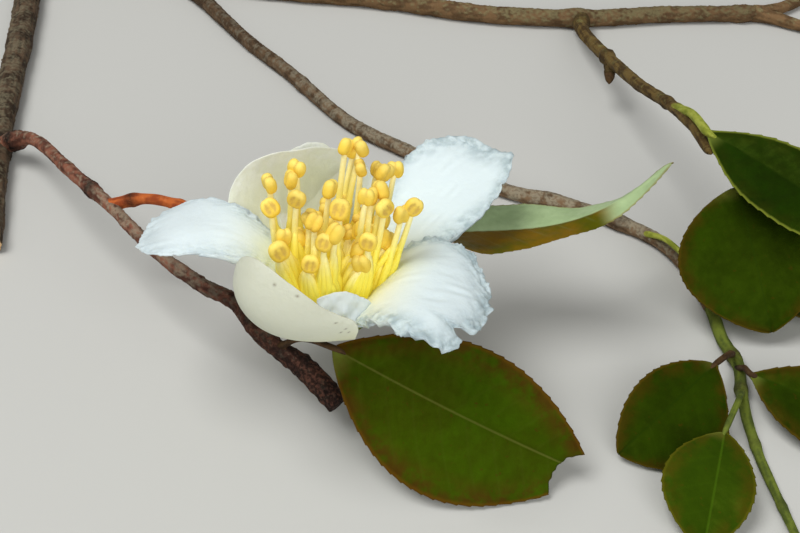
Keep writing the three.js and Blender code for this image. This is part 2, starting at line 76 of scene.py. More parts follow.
# Limbs: points of the middle line, and the skin. Radius, lichen and shade are values at even steps from foot
# to tip. A node is where the bark swells: its place from 0 to 1, its length, how far it swells, and how dark
# it is.
LIMBS = {
    "main_stem": dict(
        path=[(-72, 126, 2.3), (-67.5, 106, 2.2), (-64.5, 85, 2.1), (-62.5, 66, 2), (-60.5, 49, 1.9),
              (-56.5, 27, 1.7)],
        radius=(2.3, 1.7), collar=0, skin="grey_bark", relief=1.3, lichen=0.6, sawn=True,
        nodes=[(0.2, 1.8, 0.25, 0.5), (0.47, 1.2, 0.15, 0.3), (0.775, 2.4, 0.4, 0.9)]),
    "rear_bough": dict(
        path=[(-67.5, 106.5, 2.3), (-50, 105, 1.8), (-20, 99, 1.65), (-4, 96.3, 1.6), (14, 91.2, 1.6),
              (31.5, 89.5, 1.6), (46, 91, 1.5), (63, 91.5, 1.4)],
        radius=(1.8, 1.35), skin="rear_bark", relief=0.9,
        lichen=(0.3, 0.3, 0.4, 0.55, 0.5, 0.65, 0.85, 0.85, 0.7),
        shade=(0.1, 0, 0, 0.05, 0.2, 0.15, 0.25, 0.3, 0.4),
        nodes=[(0.21, 1.3, 0.2, 0.4), (0.5, 0.9, 0.12, 0.2), (0.755, 1.8, 0.3, 0.25),
               (0.975, 1.4, 0.25, 0.4)]),
    "rear_fork_near": dict(
        path=[(62, 91.5, 1.4), (66, 89.6, 1.3), (70, 87.2, 1.2), (75, 84.8, 1.2)],
        radius=(1.2, 0.8), bud=1.1, skin="rear_bark", relief=0.6, lichen=0.3, nodes=[(0.8, 0.8, 0.15, 0.3)]),
    "rear_fork_far": dict(
        path=[(62, 91.5, 1.4), (66, 93.2, 1.3), (70, 95.8, 1.2), (74.5, 100, 1.2)],
        radius=(1.2, 0.8), bud=1.1, skin="rear_bark", relief=0.6, lichen=0.3, nodes=[(0.8, 0.8, 0.15, 0.3)]),
    "rear_side_shoot": dict(
        path=[(31.5, 89.5, 1.6), (30.8, 81.8, 3.5), (32.4, 71, 6), (35.3, 53, 11.2), (37.8, 42, 14.8),
              (39.2, 33, 17.2), (39.8, 26.5, 18.2)],
        radius=(1.15, 0.75), bud=0.65, bud_skin="olive_bark", skin="olive_bark", relief=0.6, lichen=0.25,
        nodes=[(0.05, 1.2, 0.2, 0.6), (0.34, 1.1, 0.3, 0.5), (0.74, 0.9, 0.15, 0.4)]),
    "bud_spur": dict(
        path=[(33.1, 66.5, 7.2), (32.95, 64.6, 6.8), (32.7, 63, 6.5)],
        radius=(0.9, 0.85), bud=0.75, bud_skin="dark_stalk", skin="olive_bark", relief=0.8, lichen=0.2,
        shade=(0.4, 0.7), nodes=[(0.3, 0.8, 0.2, 0.6)]),
    "middle_bough": dict(
        path=[(-40, 103.2, 1.7), (-34.5, 95.8, 1.4), (-26, 82.7, 1.2), (-18, 72.2, 1.15), (-8.6, 58.7, 1.1),
              (0.9, 50.3, 1.1), (15.5, 40.2, 1.1), (22.8, 37.6, 1.1), (34, 30.4, 1.1), (38.5, 24, 1.1),
              (40.6, 15, 1.1)],
        radius=(1.2, 0.95), skin="brown_bark", relief=0.6,
        lichen=(0.3, 0.4, 0.55, 0.8, 0.9, 0.9, 0.95, 0.85, 0.4),
        shade=(0.4, 0.55, 0.45, 0.25, 0.1, 0, 0, 0, 0.1),
        nodes=[(0.03, 1.2, 0.2, 0.6), (0.34, 1.0, 0.16, 0.3), (0.62, 0.9, 0.14, 0.3), (0.83, 1.1, 0.2, 0.4)]),
    "lower_shoot": dict(
        path=[(40.65, 14.6, 1.1), (40.9, 9.2, 1.2), (41.2, 7.2, 1.3), (42, 3.6, 1.4), (41.6, -0.6, 1.2),
              (41.4, -5.2, 1), (41.7, -10.8, 0.85), (42.4, -16, 0.75), (43.2, -21.2, 0.7), (43.8, -25, 0.8)],
        radius=(0.85, 0.46), collar=0, bud=0.75, skin="green_skin", relief=0.3, lichen=0.0,
        nodes=[(0.24, 1.0, 0.2, 0.8), (0.38, 0.8, 0.2, 0.7), (0.6, 0.7, 0.1, 0.3), (0.83, 0.6, 0.1, 0.3)]),
    "flowering_bough": dict(
        path=[(-60.4, 49.5, 2.4), (-57.2, 48.8, 4), (-52.6, 43.9, 7.4), (-44, 30.6, 11.1), (-37.8, 23, 11.5),
              (-30.5, 13.5, 11.6), (-24.2, 8, 10.8), (-20, 5.5, 10.3), (-16, 0.6, 8.9), (-11.4, -2.1, 6.6),
              (-7.2, -5.8, 4.4)],
        radius=(1.0, 0.88, 0.88, 0.92, 0.78, 0.82, 0.95, 1.15, 1.42), skin="red_bark", relief=0.8,
        lichen=(0.4, 0.45, 0.4, 0.5, 0.9, 1.0, 0.7, 0.3, 0.1), shade=(0.3, 0, 0, 0.1, 0, 0.15, 0.7, 0.9, 1),
        nodes=[(0.045, 1.8, 0.45, 1.0), (0.405, 1.3, 0.25, 0.9), (0.58, 1.1, 0.16, 0.5),
               (0.66, 0.9, 0.1, 0.5), (0.82, 2.2, 0.1, 0.9), (0.93, 3.2, 0.15, 1.0)]),
    "flowering_shoot": dict(
        path=[(-38, 23.2, 11.4), (-33, 22.3, 13.2), (-27.7, 19.7, 14), (-20, 16, 13.6), (-12, 13.2, 13),
              (-4, 12.8, 12.4)],
        radius=(0.72, 0.6), bud=0.8, skin="orange_skin", relief=0.25, lichen=0.0,
        nodes=[(0.1, 0.9, 0.22, 0.9), (0.3, 0.8, 0.16, 0.0), (0.68, 0.7, 0.12, 0.2)]),
    "flower_stalk": dict(
        path=[(-14, 13.8, 13.2), (-12.4, 9, 11.6), (-9.6, 3, 11.3), (-8.2, -1.6, 12.1), (-7.8, -2.85, 13.4),
              (-7.7, -2.9, 14.6)],
        radius=(0.7, 1.0), skin="green_skin", relief=0.25, lichen=0.0, nodes=[(0.12, 0.7, 0.15, 0.4)]),
}

# Sizes of the leaves

LEAF_THICK = 0.34
LEAF_ENDS = (0.004, 0.997)  # the blade's first and last row
LEAF_MESH = (110, 58)  # points along a blade and across it
LEAF_ROUND = 0.8  # the power that rounds a blade's ends
LEAF_FOLD = (6, 6)  # degrees that each half stands up from the midrib
LEAF_CROWD = 0.85  # the power that crowds a blade's columns towards its margins
TOOTH = dict(height=0.16, sink=0.35, sharp=14)  # how high, how far below the margin, how close to it
RIB = dict(width=0.42, hollow=0.16, ridge=0.3)  # hollow above, thicker beneath
VEIN = dict(count=8.5, lean=0.5, curve=0.02, width=0.4, hollow=0.022)
QUILT = dict(size=1.5, height=0.025)  # small bulges between the veins
BLADE_WAVE = dict(size=6, height=0.12)
EDGE_WAVE_SIZE = 7
BITE = dict(search=(0.6, 600), ragged=0.12, size=1.1)  # where the search for a bite starts, in how many steps
UNSHEENED_SLANT = 0.006  # how much sooner the half without painted sheen ends for each millimetre from the midrib
# Stalks: the flare is at the twig, and the point lies inward of the blade's foot, under the midrib.
STALK = dict(radius=0.38, step=0.25, around=20, flare=0.25, flare_reach=0.12, inward=0.07, point=0.8,
             groove=0.14, groove_width=0.5, furrow=0.05, furrow_size=0.7, drawn_out=0.2, knot=0.8,
             knot_reach=0.1)

# Leaves: the blade's two points, its upper side, half widths left and right of the midrib, how full each half
# is near the foot, how it bows, sweeps aside and folds (values at even steps, and near_fold for the right
# half), how far the half without painted sheen reaches (the rest of that leaf's upper side is a painted sky
# reflection), its stalk, and its finish.
LEAVES = {
    "leaf_front": dict(
        base=(-7.6, -6, 13.6), tip=(21.6, -14.7, 1.9), up=(0, -0.766, 0.643), half=(8.1, 9.8), full=(1, 0.96),
        bow=0.8, sweep=-0.4, stalk=[(-14.6, -0.4, 8.2), (-11.4, -2.6, 11.8), (-7.2, -6.1, 13.5)],
        bite=((20.7, -15.8, 0.7), 4.1), finish="front_leaf", stalk_skin="dark_stalk", mesh=(200, 110),
        teeth=24, wave=0.12),
    "leaf_behind_flower": dict(
        base=(5.1, 11.8, 15.4), tip=(33.9, 20, 20.7), up=(0, 0.61, 0.79), half=(5.3, 6.8), full=(0.55, 0.25),
        round=1, bow=(-1.8, -3, -2), sweep=(0.6, -2.1, -3.4), fold=(32, 39, 24.6, -5.2, 35),
        near_fold=(-3.7, -23.9, -28.8, -66.2, -76), dark_half=0.6,
        stalk=[(-7, 13.1, 12.7), (-3.4, 13.8, 14), (0.6, 13.3, 14.4), (4.6, 12.2, 15.2)],
        finish="pale_leaf", stalk_skin="green_skin", mesh=(150, 90), teeth=26, wave=0.15),
    "leaf_upper_right": dict(
        base=(39.5, 27, 20.4), tip=(59.2, 7.5, 16.5), up=(-0.1, -0.5, 0.86), half=(4.6, 6), bow=0.6,
        fold=(8, 8), stalk=[(38.2, 40.4, 15.3), (39, 34.2, 18.4), (39.8, 26.7, 20.5)], stalk_radius=0.6,
        finish="dark_leaf", stalk_skin="lime_stalk", teeth=18, wave=0.25),
    "leaf_right": dict(
        base=(42.9, 21.5, 15.7), tip=(47, 8.6, 2.3), up=(-0.1, -0.72, 0.69), half=(9.7, 9.7), full=(0.9, 0.9),
        round=0.7, bow=1, stalk=[(39.7, 29, 17.8), (41.6, 26, 17), (43, 21.2, 15.4)], finish="green_leaf",
        stalk_skin="green_skin", teeth=20, wave=0.25),
    "leaf_middle": dict(
        base=(38.5, 21, 4), tip=(62, 12.5, 1.2), up=(0, -0.1, 0.98), half=(5.5, 5.5), bow=0.6,
        stalk=[(34, 30.4, 1.1), (36.2, 26, 3.4), (39, 20.8, 4)], finish="green_leaf",
        stalk_skin="lime_stalk", teeth=18, wave=0.2),
    "leaf_low_left": dict(
        base=(37.7, -0.5, 5.6), tip=(25.3, -10.9, 1.2), up=(0.05, -0.5, 0.86), half=(8.1, 4.5), full=(1.1, 1),
        round=0.7, bow=0.6, stalk=[(41.6, 5.6, 1.35), (40.2, 2.4, 4.6), (37.2, -0.9, 5.5)],
        finish="green_leaf", stalk_skin="dark_stalk", teeth=15, wave=0.15),
    "leaf_low": dict(
        base=(37.1, -10.7, 4.7), tip=(32.8, -24.5, 0.9), up=(-0.1, -0.4, 0.9), half=(4.4, 5.9), round=0.7,
        bow=0.6, stalk=[(41.5, -0.8, 1.2), (39.6, -5.8, 4.7), (36.9, -11.3, 4.7)], finish="fresh_leaf",
        stalk_skin="green_skin", teeth=14, wave=0.15),
    "leaf_low_right": dict(
        base=(42.3, -0.6, 4), tip=(59, -9.6, 1), up=(0, -0.4, 0.9), half=(4.4, 5.9), bow=1,
        stalk=[(41.9, 3, 1.4), (41.9, 1.2, 3.4), (42.9, -0.9, 4)], finish="green_leaf",
        stalk_skin="dark_stalk", teeth=16, wave=0.2),
    "leaf_rear_near": dict(
        base=(78, 82, 3.2), tip=(96, 72, 1), up=(0, 0, 1), half=(5.5, 5.5), bow=1.4,
        stalk=[(72.6, 86, 1.2), (75.6, 83, 3), (78.6, 81.7, 3.2)], finish="green_leaf",
        stalk_skin="lime_stalk", teeth=18, wave=0.25),
    "leaf_rear_far": dict(
        base=(76.5, 103.4, 3.2), tip=(91, 118, 1), up=(0, 0, 1), half=(5.5, 5.5), bow=1.4,
        stalk=[(71.8, 97.2, 1.2), (74.6, 101.6, 3), (77, 103.9, 3.2)], finish="fresh_leaf",
        stalk_skin="lime_stalk", teeth=18, wave=0.25),
}

# Sizes of the flower

FLOWER = np.array([-7.0, -2.2, 18.6])  # the middle of the ring of stamens
FLOWER_AXIS = np.array([0.153, 0.136, 0.979])
PETAL_SQUARENESS = 2.2  # 2 would be an ellipse's end
PETAL_RIM = 0.93  # how far towards the ellipse's own side the sides of a petal reach
RIM_REACH = 4.5  # how far in from the rim a petal is crimped and takes its painted edge shading
PETAL_THICK = (0.4, 0.14)  # at the claw and at the rim
PETAL_MESH = (116, 124)  # points along a petal and across it
# Noise that tears and crimps a rim, as pairs of size and share.
TEARS = ((2.6, 1), (0.9, 0.35))
CRIMPS = ((1.9, 0.8), (0.75, 0.5))
TORN_SIDE = 0.6  # how much more one side of a petal is torn
FURROW_SIZE = 1.5
FURROW_FAN = 0.45  # how close together the furrows lie at the claw
FURROW_DRAWN_OUT = 0.22  # how much a distance lengthwise counts
PATCH_SIZE = 5
PETAL_WAVE_SIZE = 8

# Petals: the way that they point round the flower, length, half width on either side, slope of the middle
# line at claw and rim, bend across (cup), place of the claw, how narrow the claw is and how fast the petal
# spreads from it, and how each side stands higher (roll) or reaches further (skew). Lobes are bells along the
# rim: place, width and height. Then how torn the rim is, and on which side; how deep the fine furrows, the
# broad waves and the crimped rim are; and the finish.
PETALS = {
    "petal_left": dict(
        turn=165.4, length=22.9, half=(10.3, 11.7), slope=(58.6, -44.2), cup=-16.6, claw=(3.4, -1.1),
        narrow=(0.06, 0.16), spread=(1.66, 1.17), roll=-0.062, skew=0.046, lobes=[(0.9, 0.02, -0.08)],
        torn=(0.012, -1), furrow=0.04, wave=0.3, crimp=0.24, finish="bright_petal"),
    "petal_back_left": dict(
        turn=122.3, length=16.9, half=(14.8, 11.3), slope=(12.7, 99.9), cup=-17.9, claw=(4.8, -1.6),
        narrow=(0.07, 0.07), spread=(0.3, 0.643), skew=-0.064, roll=-0.11, torn=(0.004, 0), furrow=0.04,
        wave=0.2, crimp=0.06, finish="cream_petal"),
    "petal_back": dict(
        turn=109, length=16.6, half=(6.5, 6.5), slope=(36, 70), cup=12, claw=(5.7, -2.4),
        narrow=(0.12, 0.12), spread=(0.6, 0.6), torn=(0.006, 0), furrow=0.04, wave=0.2, crimp=0.1,
        finish="cream_petal", mesh=(80, 80)),
    "petal_right_back": dict(
        turn=52.7, length=25.3, half=(11.2, 12), slope=(19.7, 36.8), cup=10, claw=(3.4, -0.7),
        narrow=(0.09, 0.244), spread=(1.02, 1.12), skew=-0.018, roll=-0.048,
        lobes=[(-0.45, 0.2, 0.05), (-0.68, 0.06, -0.03)], torn=(0.008, -1), furrow=0.05, wave=0.45,
        crimp=0.45, finish="white_petal"),
    "petal_front_right": dict(
        turn=-13.2, length=15.8, half=(14.8, 10.9), slope=(69.2, -36.5), cup=-22.3, claw=(3.74, 0.55),
        narrow=(0.349, 0.471), spread=(0.573, 0.325), roll=-0.018, skew=-0.212,
        lobes=[(-0.62, 0.045, -0.14), (-0.9, 0.14, 0.1), (0.2, 0.05, -0.03)], torn=(0.009, -1), furrow=0.08,
        wave=0.4, crimp=0.5, finish="white_petal"),
    "petal_front_left": dict(
        turn=-122.4, length=17.1, half=(11.6, 10.7), slope=(-31.7, 120.4), cup=92, claw=(3.3, -1),
        narrow=(0.055, 0.2), spread=(0.86, 0.38), square=2.43, roll=0.2, skew=-0.156, torn=(0.003, 0),
        furrow=0.02, wave=0.12, crimp=0.0, finish="shaded_petal",
        specks=[(-0.2, 16.1), (2.35, 15.8), (8.6, 9.2), (9.2, 7.9), (8.1, 8.7), (7.1, 11.6)]),
}
SPECK = 0.16  # radius of the dark specks on the front petal
# A fold of the front petal: its turns about the axis, how far out it stands, its upper and lower edges, how
# long it is, and how far it leans in over its pivot. Crumples are pairs of size and height.
FLAP = dict(turns=(-110, -46), out=(6.7, 7.2), top=(2.9, 3.8, 1.6), low=(2.5, 0.5, 0.4), run=12,
            ragged=(1.4, 0.16), lean=1.3, pivot=0.3, crumples=((2.6, 0.2), (1.0, 0.07)), thick=0.22,
            mesh=(44, 80))

# Anthers: how far east and north of the flower's axis, how high along it, and whether the open tan face
# shows.
ANTHERS = [
    (-1.4, 4.0, 16.3, 0), (0.2, 4.4, 16.3, 0), (-0.4, 5.4, 15.4, 0), (0.6, 4.0, 14, 0), (2.5, 5.9, 13, 0),
    (4.5, 6.5, 13, 0), (3.2, 4.4, 13.6, 0), (-9.0, 1.3, 12, 0), (-8.5, -0.4, 10, 1), (-6.8, 2.8, 12, 0),
    (-5.9, -1.2, 12, 1), (-6.3, 3.8, 13, 0), (-2.5, 0.1, 13, 0), (-1.2, -2.3, 12, 1), (1.4, -0.6, 13, 0),
    (2.1, 0.4, 12.6, 0), (3.0, 1.2, 13, 0), (3.6, -0.6, 12, 1), (6.7, 0.4, 12, 1), (5.6, 0.2, 11, 0),
    (-3.7, -2.3, 10, 0), (-2.4, -4.5, 9, 1), (-1.4, -4.0, 10, 0), (2.3, -3.1, 9, 1), (-6.7, -2.7, 8, 0),
    (-7.0, -4.0, 7, 1), (-3.6, -4.2, 6, 1), (1.9, -2.9, 6, 0), (1.4, -1.6, 7, 0), (-4.2, -0.4, 9.4, 0),
]
# Shorter stamens in among the far ones: each stands one turn further round than the last, in radians.
SPARES = dict(count=18, out=(1.2, 5.2), height=(6.0, 9.0), turn=2.4, crowd=0.6)
# Threads that lean against each one: how far aside and inward their foot stands, and how high they meet.
PARTNERS = ((0.7, 0, 8.4), (-0.7, 0, 7.2), (1.3, -0.3, 5.2), (-1.35, -0.3, 6.0), (0.35, -1.0, 7.6),
            (-0.45, -1.9, 6.4))
LONGEST_PARTNER = 0.92  # as a part of the thread that it leans against
# Threads: radius and the foot's distance from the axis are pairs, the distance for the innermost and the
# outermost stamens. A thread ends just below its anther's middle, and a partner's end is thinned.
FILAMENT = dict(radius=(0.48, 0.32), foot=(1.6, 4.5), foot_reach=7, root=-0.2, flare=0.5, below_anther=0.5,
                sway=(0.35, 0.12), thinned=0.55)
THREAD_MESH = (14, 8)  # rings, and points in a ring
PARTNER_MESH = (8, 6)
# Anthers: half sizes, how far above the thread's end the middle sits, how much they lean at random, and the
# dish and ridge of a face: their widths and depths. A closed and an open one differ in how square they are,
# how deeply pinched, and their size.
ANTHER = dict(long=1.12, wide=0.98, deep=0.74, seat=0.4, mesh=(24, 30), lean=0.35, dish=0.68, dish_depth=0.45,
              ridge=0.13, ridge_depth=0.3, closed_depth=0.15, pinch=0.3, groove=0.1)
CLOSED_ANTHER = dict(power=2.5, pinched=0.26, size=1)
OPEN_ANTHER = dict(power=2.15, pinched=0.12, size=1.06)
OPEN_FACE_WAY = (0.15, -0.8, 0.45)  # where open faces look, the first at random to either side
# Outlines turned about the flower's axis: radius, and height along the axis.
CALYX_CUP = [(0, -4.3), (1.3, -4.2), (2.5, -3.6), (3.0, -2.7), (2.7, -2.0), (1.6, -1.55), (0, -1.45)]
STAMEN_TUBE = [(0, -1.2), (2.4, -1.2), (3.6, -0.5), (4.6, 0.3), (4.9, 0.8), (4.6, 1.1), (3.6, 1.3), (0, 1.4)]
TURNED_AROUND = 48  # points in a ring of a turned outline
TURNED_STEPS = 6  # between two points of the outline
SEPAL_COUNT = 5
SEPAL_TURN = 20  # degrees
SEPAL_MESH = (40, 40)
SEPAL_THICK = (0.5, 0.25)
SEPAL = dict(length=5.2, half=(2.9, 2.9), slope=(-5, 78), cup=70, claw=(0.9, -4.0), narrow=(0.45, 0.45),
             spread=(0.6, 0.6), torn=(0, 0), furrow=0.03, wave=0.1)


# Making of meshes

def ripples(places, size, seed):
    """Smooth noise, mostly from -1 to 1: the sum of plane sine waves, each about `size` long, in directions
    and phases drawn from the seed, over the root of twice their number."""
    draw = np.random.default_rng(seed)
    ways = draw.normal(size=(WAVES, 3))
    numbers = 2 * np.pi / size * draw.uniform(*WAVE_NUMBERS, WAVES)
    ways *= (numbers / np.linalg.norm(ways, axis=1))[:, None]
    phases = draw.uniform(0, 2 * np.pi, WAVES)
    return np.sin(places @ ways.T + phases).sum(-1) / math.sqrt(2 * WAVES)


def joined(*parts):
    """Coordinates put together into places."""
    return np.stack(np.broadcast_arrays(*parts), -1)


def ramp(low, high, value):
    """0 below `low`, 1 above `high`, and 3t^2 - 2t^3 between them."""
    t = np.clip((value - low) / (high - low), 0, 1)
    return t * t * (3 - 2 * t)


def bell(distance, width):
    """exp(-(distance / width)^2)."""
    return np.exp(-(distance / width) ** 2)


def between(pair, part):
    """From the first value of a pair to the second, evenly."""
    return pair[0] + (pair[1] - pair[0]) * part


def through(part, values):
    """The polynomial that goes through the values at even steps from 0 to 1, read at each part."""
    return np.polyval(np.polyfit(np.linspace(0, 1, len(values)), values, len(values) - 1), part)


def stretched(part, values):
    """Values at even steps of a limb, read at each part of its length along straight lines between them."""
    return np.interp(part, np.linspace(0, 1, len(values)), values)


def unit(vectors):
    """Each vector over its own length."""
    return vectors / np.maximum(np.linalg.norm(vectors, axis=-1, keepdims=True), 1e-12)


def full_turn(count):
    """Angles at even steps round a circle."""
    return 2 * np.pi * np.arange(count) / count


def grid_faces(rows, columns, closed=False):
    """Squares between the points of a grid, counted row by row; `closed` joins the last column to the
    first."""
    index = np.arange(rows * columns).reshape(rows, columns)
    right = np.roll(index, -1, axis=1) if closed else index[:, 1:]
    here = index if closed else index[:, :-1]
    return np.stack([here[:-1], right[:-1], right[1:], here[1:]], -1).reshape(-1, 4)


def smooth_path(points, step):
    """Points at even distances, about `step`, along the Catmull-Rom curve through `points` (tension 0.5),
    whose ends are carried on in a straight line. Gives the points and their distance from the foot."""
    p = np.array(points, float)
    p = np.vstack([2 * p[0] - p[1], p, 2 * p[-1] - p[-2]])
    t = np.linspace(0, 1, CURVE_STEPS, endpoint=False)[None, :, None]
    a, b, c, d = (p[i:len(p) - 3 + i][:, None, :] for i in range(4))
    curve = (b + 0.5 * (c - a) * t + (a - 2.5 * b + 2 * c - 0.5 * d) * t ** 2
             + (1.5 * (b - c) + 0.5 * (d - a)) * t ** 3)
    curve = np.vstack([curve.reshape(-1, 3), p[-2]])
    far = np.concatenate([[0], np.cumsum(np.linalg.norm(np.diff(curve, axis=0), axis=1))])
    along = np.linspace(0, far[-1], max(3, int(round(far[-1] / step)) + 1))
    return np.stack([np.interp(along, far, curve[:, k]) for k in range(3)], -1), along


def carried(path, radius, angle, upright):
    """Rings carried along a path: circles square to it, with a radius for each ring and angle. The angles
    are counted from the part of `upright` that is square to the path."""
    along = unit(np.gradient(path, axis=0))
    upright = np.array(upright, float)
    first = unit(upright - (along @ upright)[:, None] * along)
    second = np.cross(along, first)
    spokes = np.cos(angle)[:, None] * first[:, None] + np.sin(angle)[:, None] * second[:, None]
    return path[:, None] + radius[..., None] * spokes


def straight_rod(radius, angle, along):
    """The rings that the same radii have on a straight rod, where noise is read."""
    return joined(radius[:, None] * np.cos(angle), radius[:, None] * np.sin(angle), along[:, None])


class Surface:
    """Points with their faces, the values that a material reads at each point, and each point's place on a
    flat map in millimetres."""

    def __init__(self, points, faces, values, flat_map=None):
        self.points = points.reshape(-1, 3)
        self.faces = faces
        self.values = values
        self.flat_map = np.zeros((len(self.points), 2)) if flat_map is None else flat_map


def closed_tube(rings, first, last, values):
    """A tube through the rings of points, shut by a fan of triangles round a middle point at each end."""
    count, around = rings.shape[:2]
    points = np.vstack([rings.reshape(-1, 3), first, last])
    here = np.arange(around)
    after = np.roll(here, -1)
    end = (count - 1) * around
    fans = np.vstack([np.stack([np.full(around, count * around), after, here], -1),
                      np.stack([np.full(around, count * around + 1), end + here, end + after], -1)])
    grown = {}
    for key, value in values.items():
        value = np.broadcast_to(value, (count, around))
        grown[key] = np.concatenate([value.ravel(), [value[0].mean(), value[-1].mean()]])
    return Surface(points, [grid_faces(count, around, True), fans], grown)


def closed_shell(middle, lift, thick, values, flat_map):
    """Two sides of a thin blade: the middle surface moved along its normal by `lift` plus or minus half of
    `thick`, joined round the rim by a line of points that stands out by a third of the thickness."""
    rows, columns = middle.shape[:2]
    normal = unit(np.cross(np.gradient(middle, axis=0), np.gradient(middle, axis=1)))
    body = middle + normal * lift[..., None]
    half = normal * (thick / 2)[..., None]
    index = np.arange(rows * columns).reshape(rows, columns)
    loop = np.concatenate([index[:-1, 0], index[-1, :-1], index[:0:-1, -1], index[0, :0:-1]])
    inner = np.stack(np.unravel_index(loop, (rows, columns)), -1)
    inner = np.clip(inner, [1, 1], [rows - 2, columns - 2])
    edge = body.reshape(-1, 3)[loop]
    outward = unit(edge - body[inner[:, 0], inner[:, 1]])
    rim = edge + outward * thick.reshape(-1)[loop][:, None] / 3
    count = rows * columns
    points = np.vstack([(body + half).reshape(-1, 3), (body - half).reshape(-1, 3), rim])
    upper = grid_faces(rows, columns)[:, [0, 3, 2, 1]]
    lower = grid_faces(rows, columns) + count
    here = 2 * count + np.arange(len(loop))
    after = np.roll(here, -1)
    edge_faces = np.vstack([np.stack([loop, here, after, np.roll(loop, -1)], -1),
                            np.stack([here, count + loop, count + np.roll(loop, -1), after], -1)])
    grown = {}
    for key, value in values.items():
        value = np.broadcast_to(value, (rows, columns)).ravel()
        grown[key] = np.concatenate([value, value, value[loop]])
    grown["under"] = np.concatenate([np.zeros(count), np.ones(count), np.full(len(loop), 0.5)])
    flat = flat_map.reshape(-1, 2)
    return Surface(points, [upper, lower, edge_faces], grown, np.vstack([flat, flat, flat[loop]]))


def make_piece(name, surfaces, finish, nodes=()):
    """One mesh object from surfaces in the drawing's millimetres, riding on the branch's one body."""
    starts = np.cumsum([0] + [len(s.points) for s in surfaces])
    points = np.vstack([s.points for s in surfaces])
    points[:, 2] = np.maximum(points[:, 2], LOWEST)
    points = (points - MIDDLE) * METRES
    faces = [f + start for s, start in zip(surfaces, starts) for f in s.faces]
    corners = np.concatenate([f.ravel() for f in faces]).astype(np.int32)
    sizes = np.concatenate([np.full(len(f), f.shape[1]) for f in faces])
    mesh = bpy.data.meshes.new(name)
    mesh.vertices.add(len(points))
    mesh.vertices.foreach_set("co", points.astype(np.float32).ravel())
    mesh.loops.add(len(corners))
    mesh.loops.foreach_set("vertex_index", corners)
    mesh.polygons.add(len(sizes))
    mesh.polygons.foreach_set("loop_start", np.concatenate([[0], np.cumsum(sizes)[:-1]]).astype(np.int32))
    mesh.polygons.foreach_set("use_smooth", np.ones(len(sizes), bool))
    flat = np.vstack([s.flat_map for s in surfaces])
    mesh.uv_layers.new(name="blade").data.foreach_set("uv", flat[corners].astype(np.float32).ravel())
    for key in sorted({key for s in surfaces for key in s.values}):
        column = np.concatenate([s.values.get(key, np.zeros(len(s.points))) for s in surfaces])
        mesh.attributes.new(key, "FLOAT", "POINT").data.foreach_set("value", column.astype(np.float32))
    mesh.update(calc_edges=True)
    mesh.validate()
    mesh.materials.append(FINISHES[finish])
    piece = bpy.data.objects.new(name, mesh)
    bpy.context.scene.collection.objects.link(piece)
    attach(piece, "root")
    if nodes:
        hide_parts(*nodes)


# The wood

def limb_surface(spec, seed):
    """A limb: a circle carried along its path. Its radius goes by straight lines from foot to tip, with a
    collar at the foot and a swelling at each node, each a bell curve of the distance along. On that radius
    lie lengthwise furrows, lumps, warts and crusts of lichen, all of them smooth noise of the place on the
    straight rod. Dark stretches are gnarled as well."""
    path, along = smooth_path(spec["path"], BARK_STEP)
    part = along / along[-1]
    radius = stretched(part, spec["radius"]) * (1 + spec.get("collar", COLLAR) * bell(part, COLLAR_REACH))
    dark = stretched(part, spec.get("shade", (0, 0)))
    for place, wide, swell, shade in spec["nodes"]:
        swelling = bell(along - place * along[-1], wide)
        radius = radius + swell * swelling
        dark = np.maximum(dark, shade * swelling)
    dark = dark[:, None]
    angle = full_turn(max(FEWEST_AROUND, int(2 * np.pi * radius.max() / BARK_AROUND)))
    rod = straight_rod(radius, angle, along)
    noise = {key: ripples(rod * [1, 1, drawn_out], size, seed + number)
             for number, (key, (drawn_out, size)) in enumerate(BARK_NOISE.items())}
    lichen = stretched(part, np.atleast_1d(spec["lichen"]))[:, None]
    crust = ramp(*LICHEN["step"], LICHEN["noise"] * (noise["patch"] + noise["spot"])
                 + LICHEN["upper"] * np.cos(angle) + LICHEN["amount"] * lichen) * (lichen > LICHEN["least"])
    relief = (sum(BARK_DEPTH[key] * noise[key] for key in ("furrow", "lump", "grain"))
              + BARK_DEPTH["wart"] * ramp(*WART_STEP, noise["wart"])
              + BARK_DEPTH["crust"] * crust * (1 + noise["grain"])
              + dark * (BARK_DEPTH["gnarl"] * noise["gnarl"] - BARK_DEPTH["cleft"] * np.abs(noise["furrow"])))
    rings = carried(path, radius[:, None] + spec["relief"] * relief, angle, (0, 0, 1))
    values = dict(lichen=crust, crease=np.clip(0.5 - 0.5 * noise["furrow"], 0, 1), knot=dark)
    if spec.get("sawn"):
        return sawn_tube(rings, path, values)
    return closed_tube(rings, path[0], path[-1], values)


def sawn_tube(rings, path, values):
    """A tube whose ends are sawn flat, so that the bare wood shows its own colour: each end ring is repeated
    at smaller sizes and pushed out by a hair."""
    sizes = np.array(SAWN_RINGS)
    count = len(sizes)
    low, high = (unit(step) * SAWN_BULGE for step in (path[0] - path[1], path[-1] - path[-2]))
    near = path[0] + (rings[0] - path[0]) * sizes[:, None, None] + low
    far = path[-1] + (rings[-1] - path[-1]) * sizes[::-1, None, None] + high
    grown = {}
    for key, value in values.items():
        value = np.broadcast_to(value, rings.shape[:2])
        grown[key] = np.vstack([np.repeat(value[:1], count, 0), value, np.repeat(value[-1:], count, 0)])
    cut = np.zeros(grown["lichen"].shape)
    cut[:count] = cut[-count:] = 1
    grown.update(cut=cut, lichen=grown["lichen"] * (1 - cut))
    return closed_tube(np.concatenate([near, rings, far]), path[0] + low, path[-1] + high, grown)


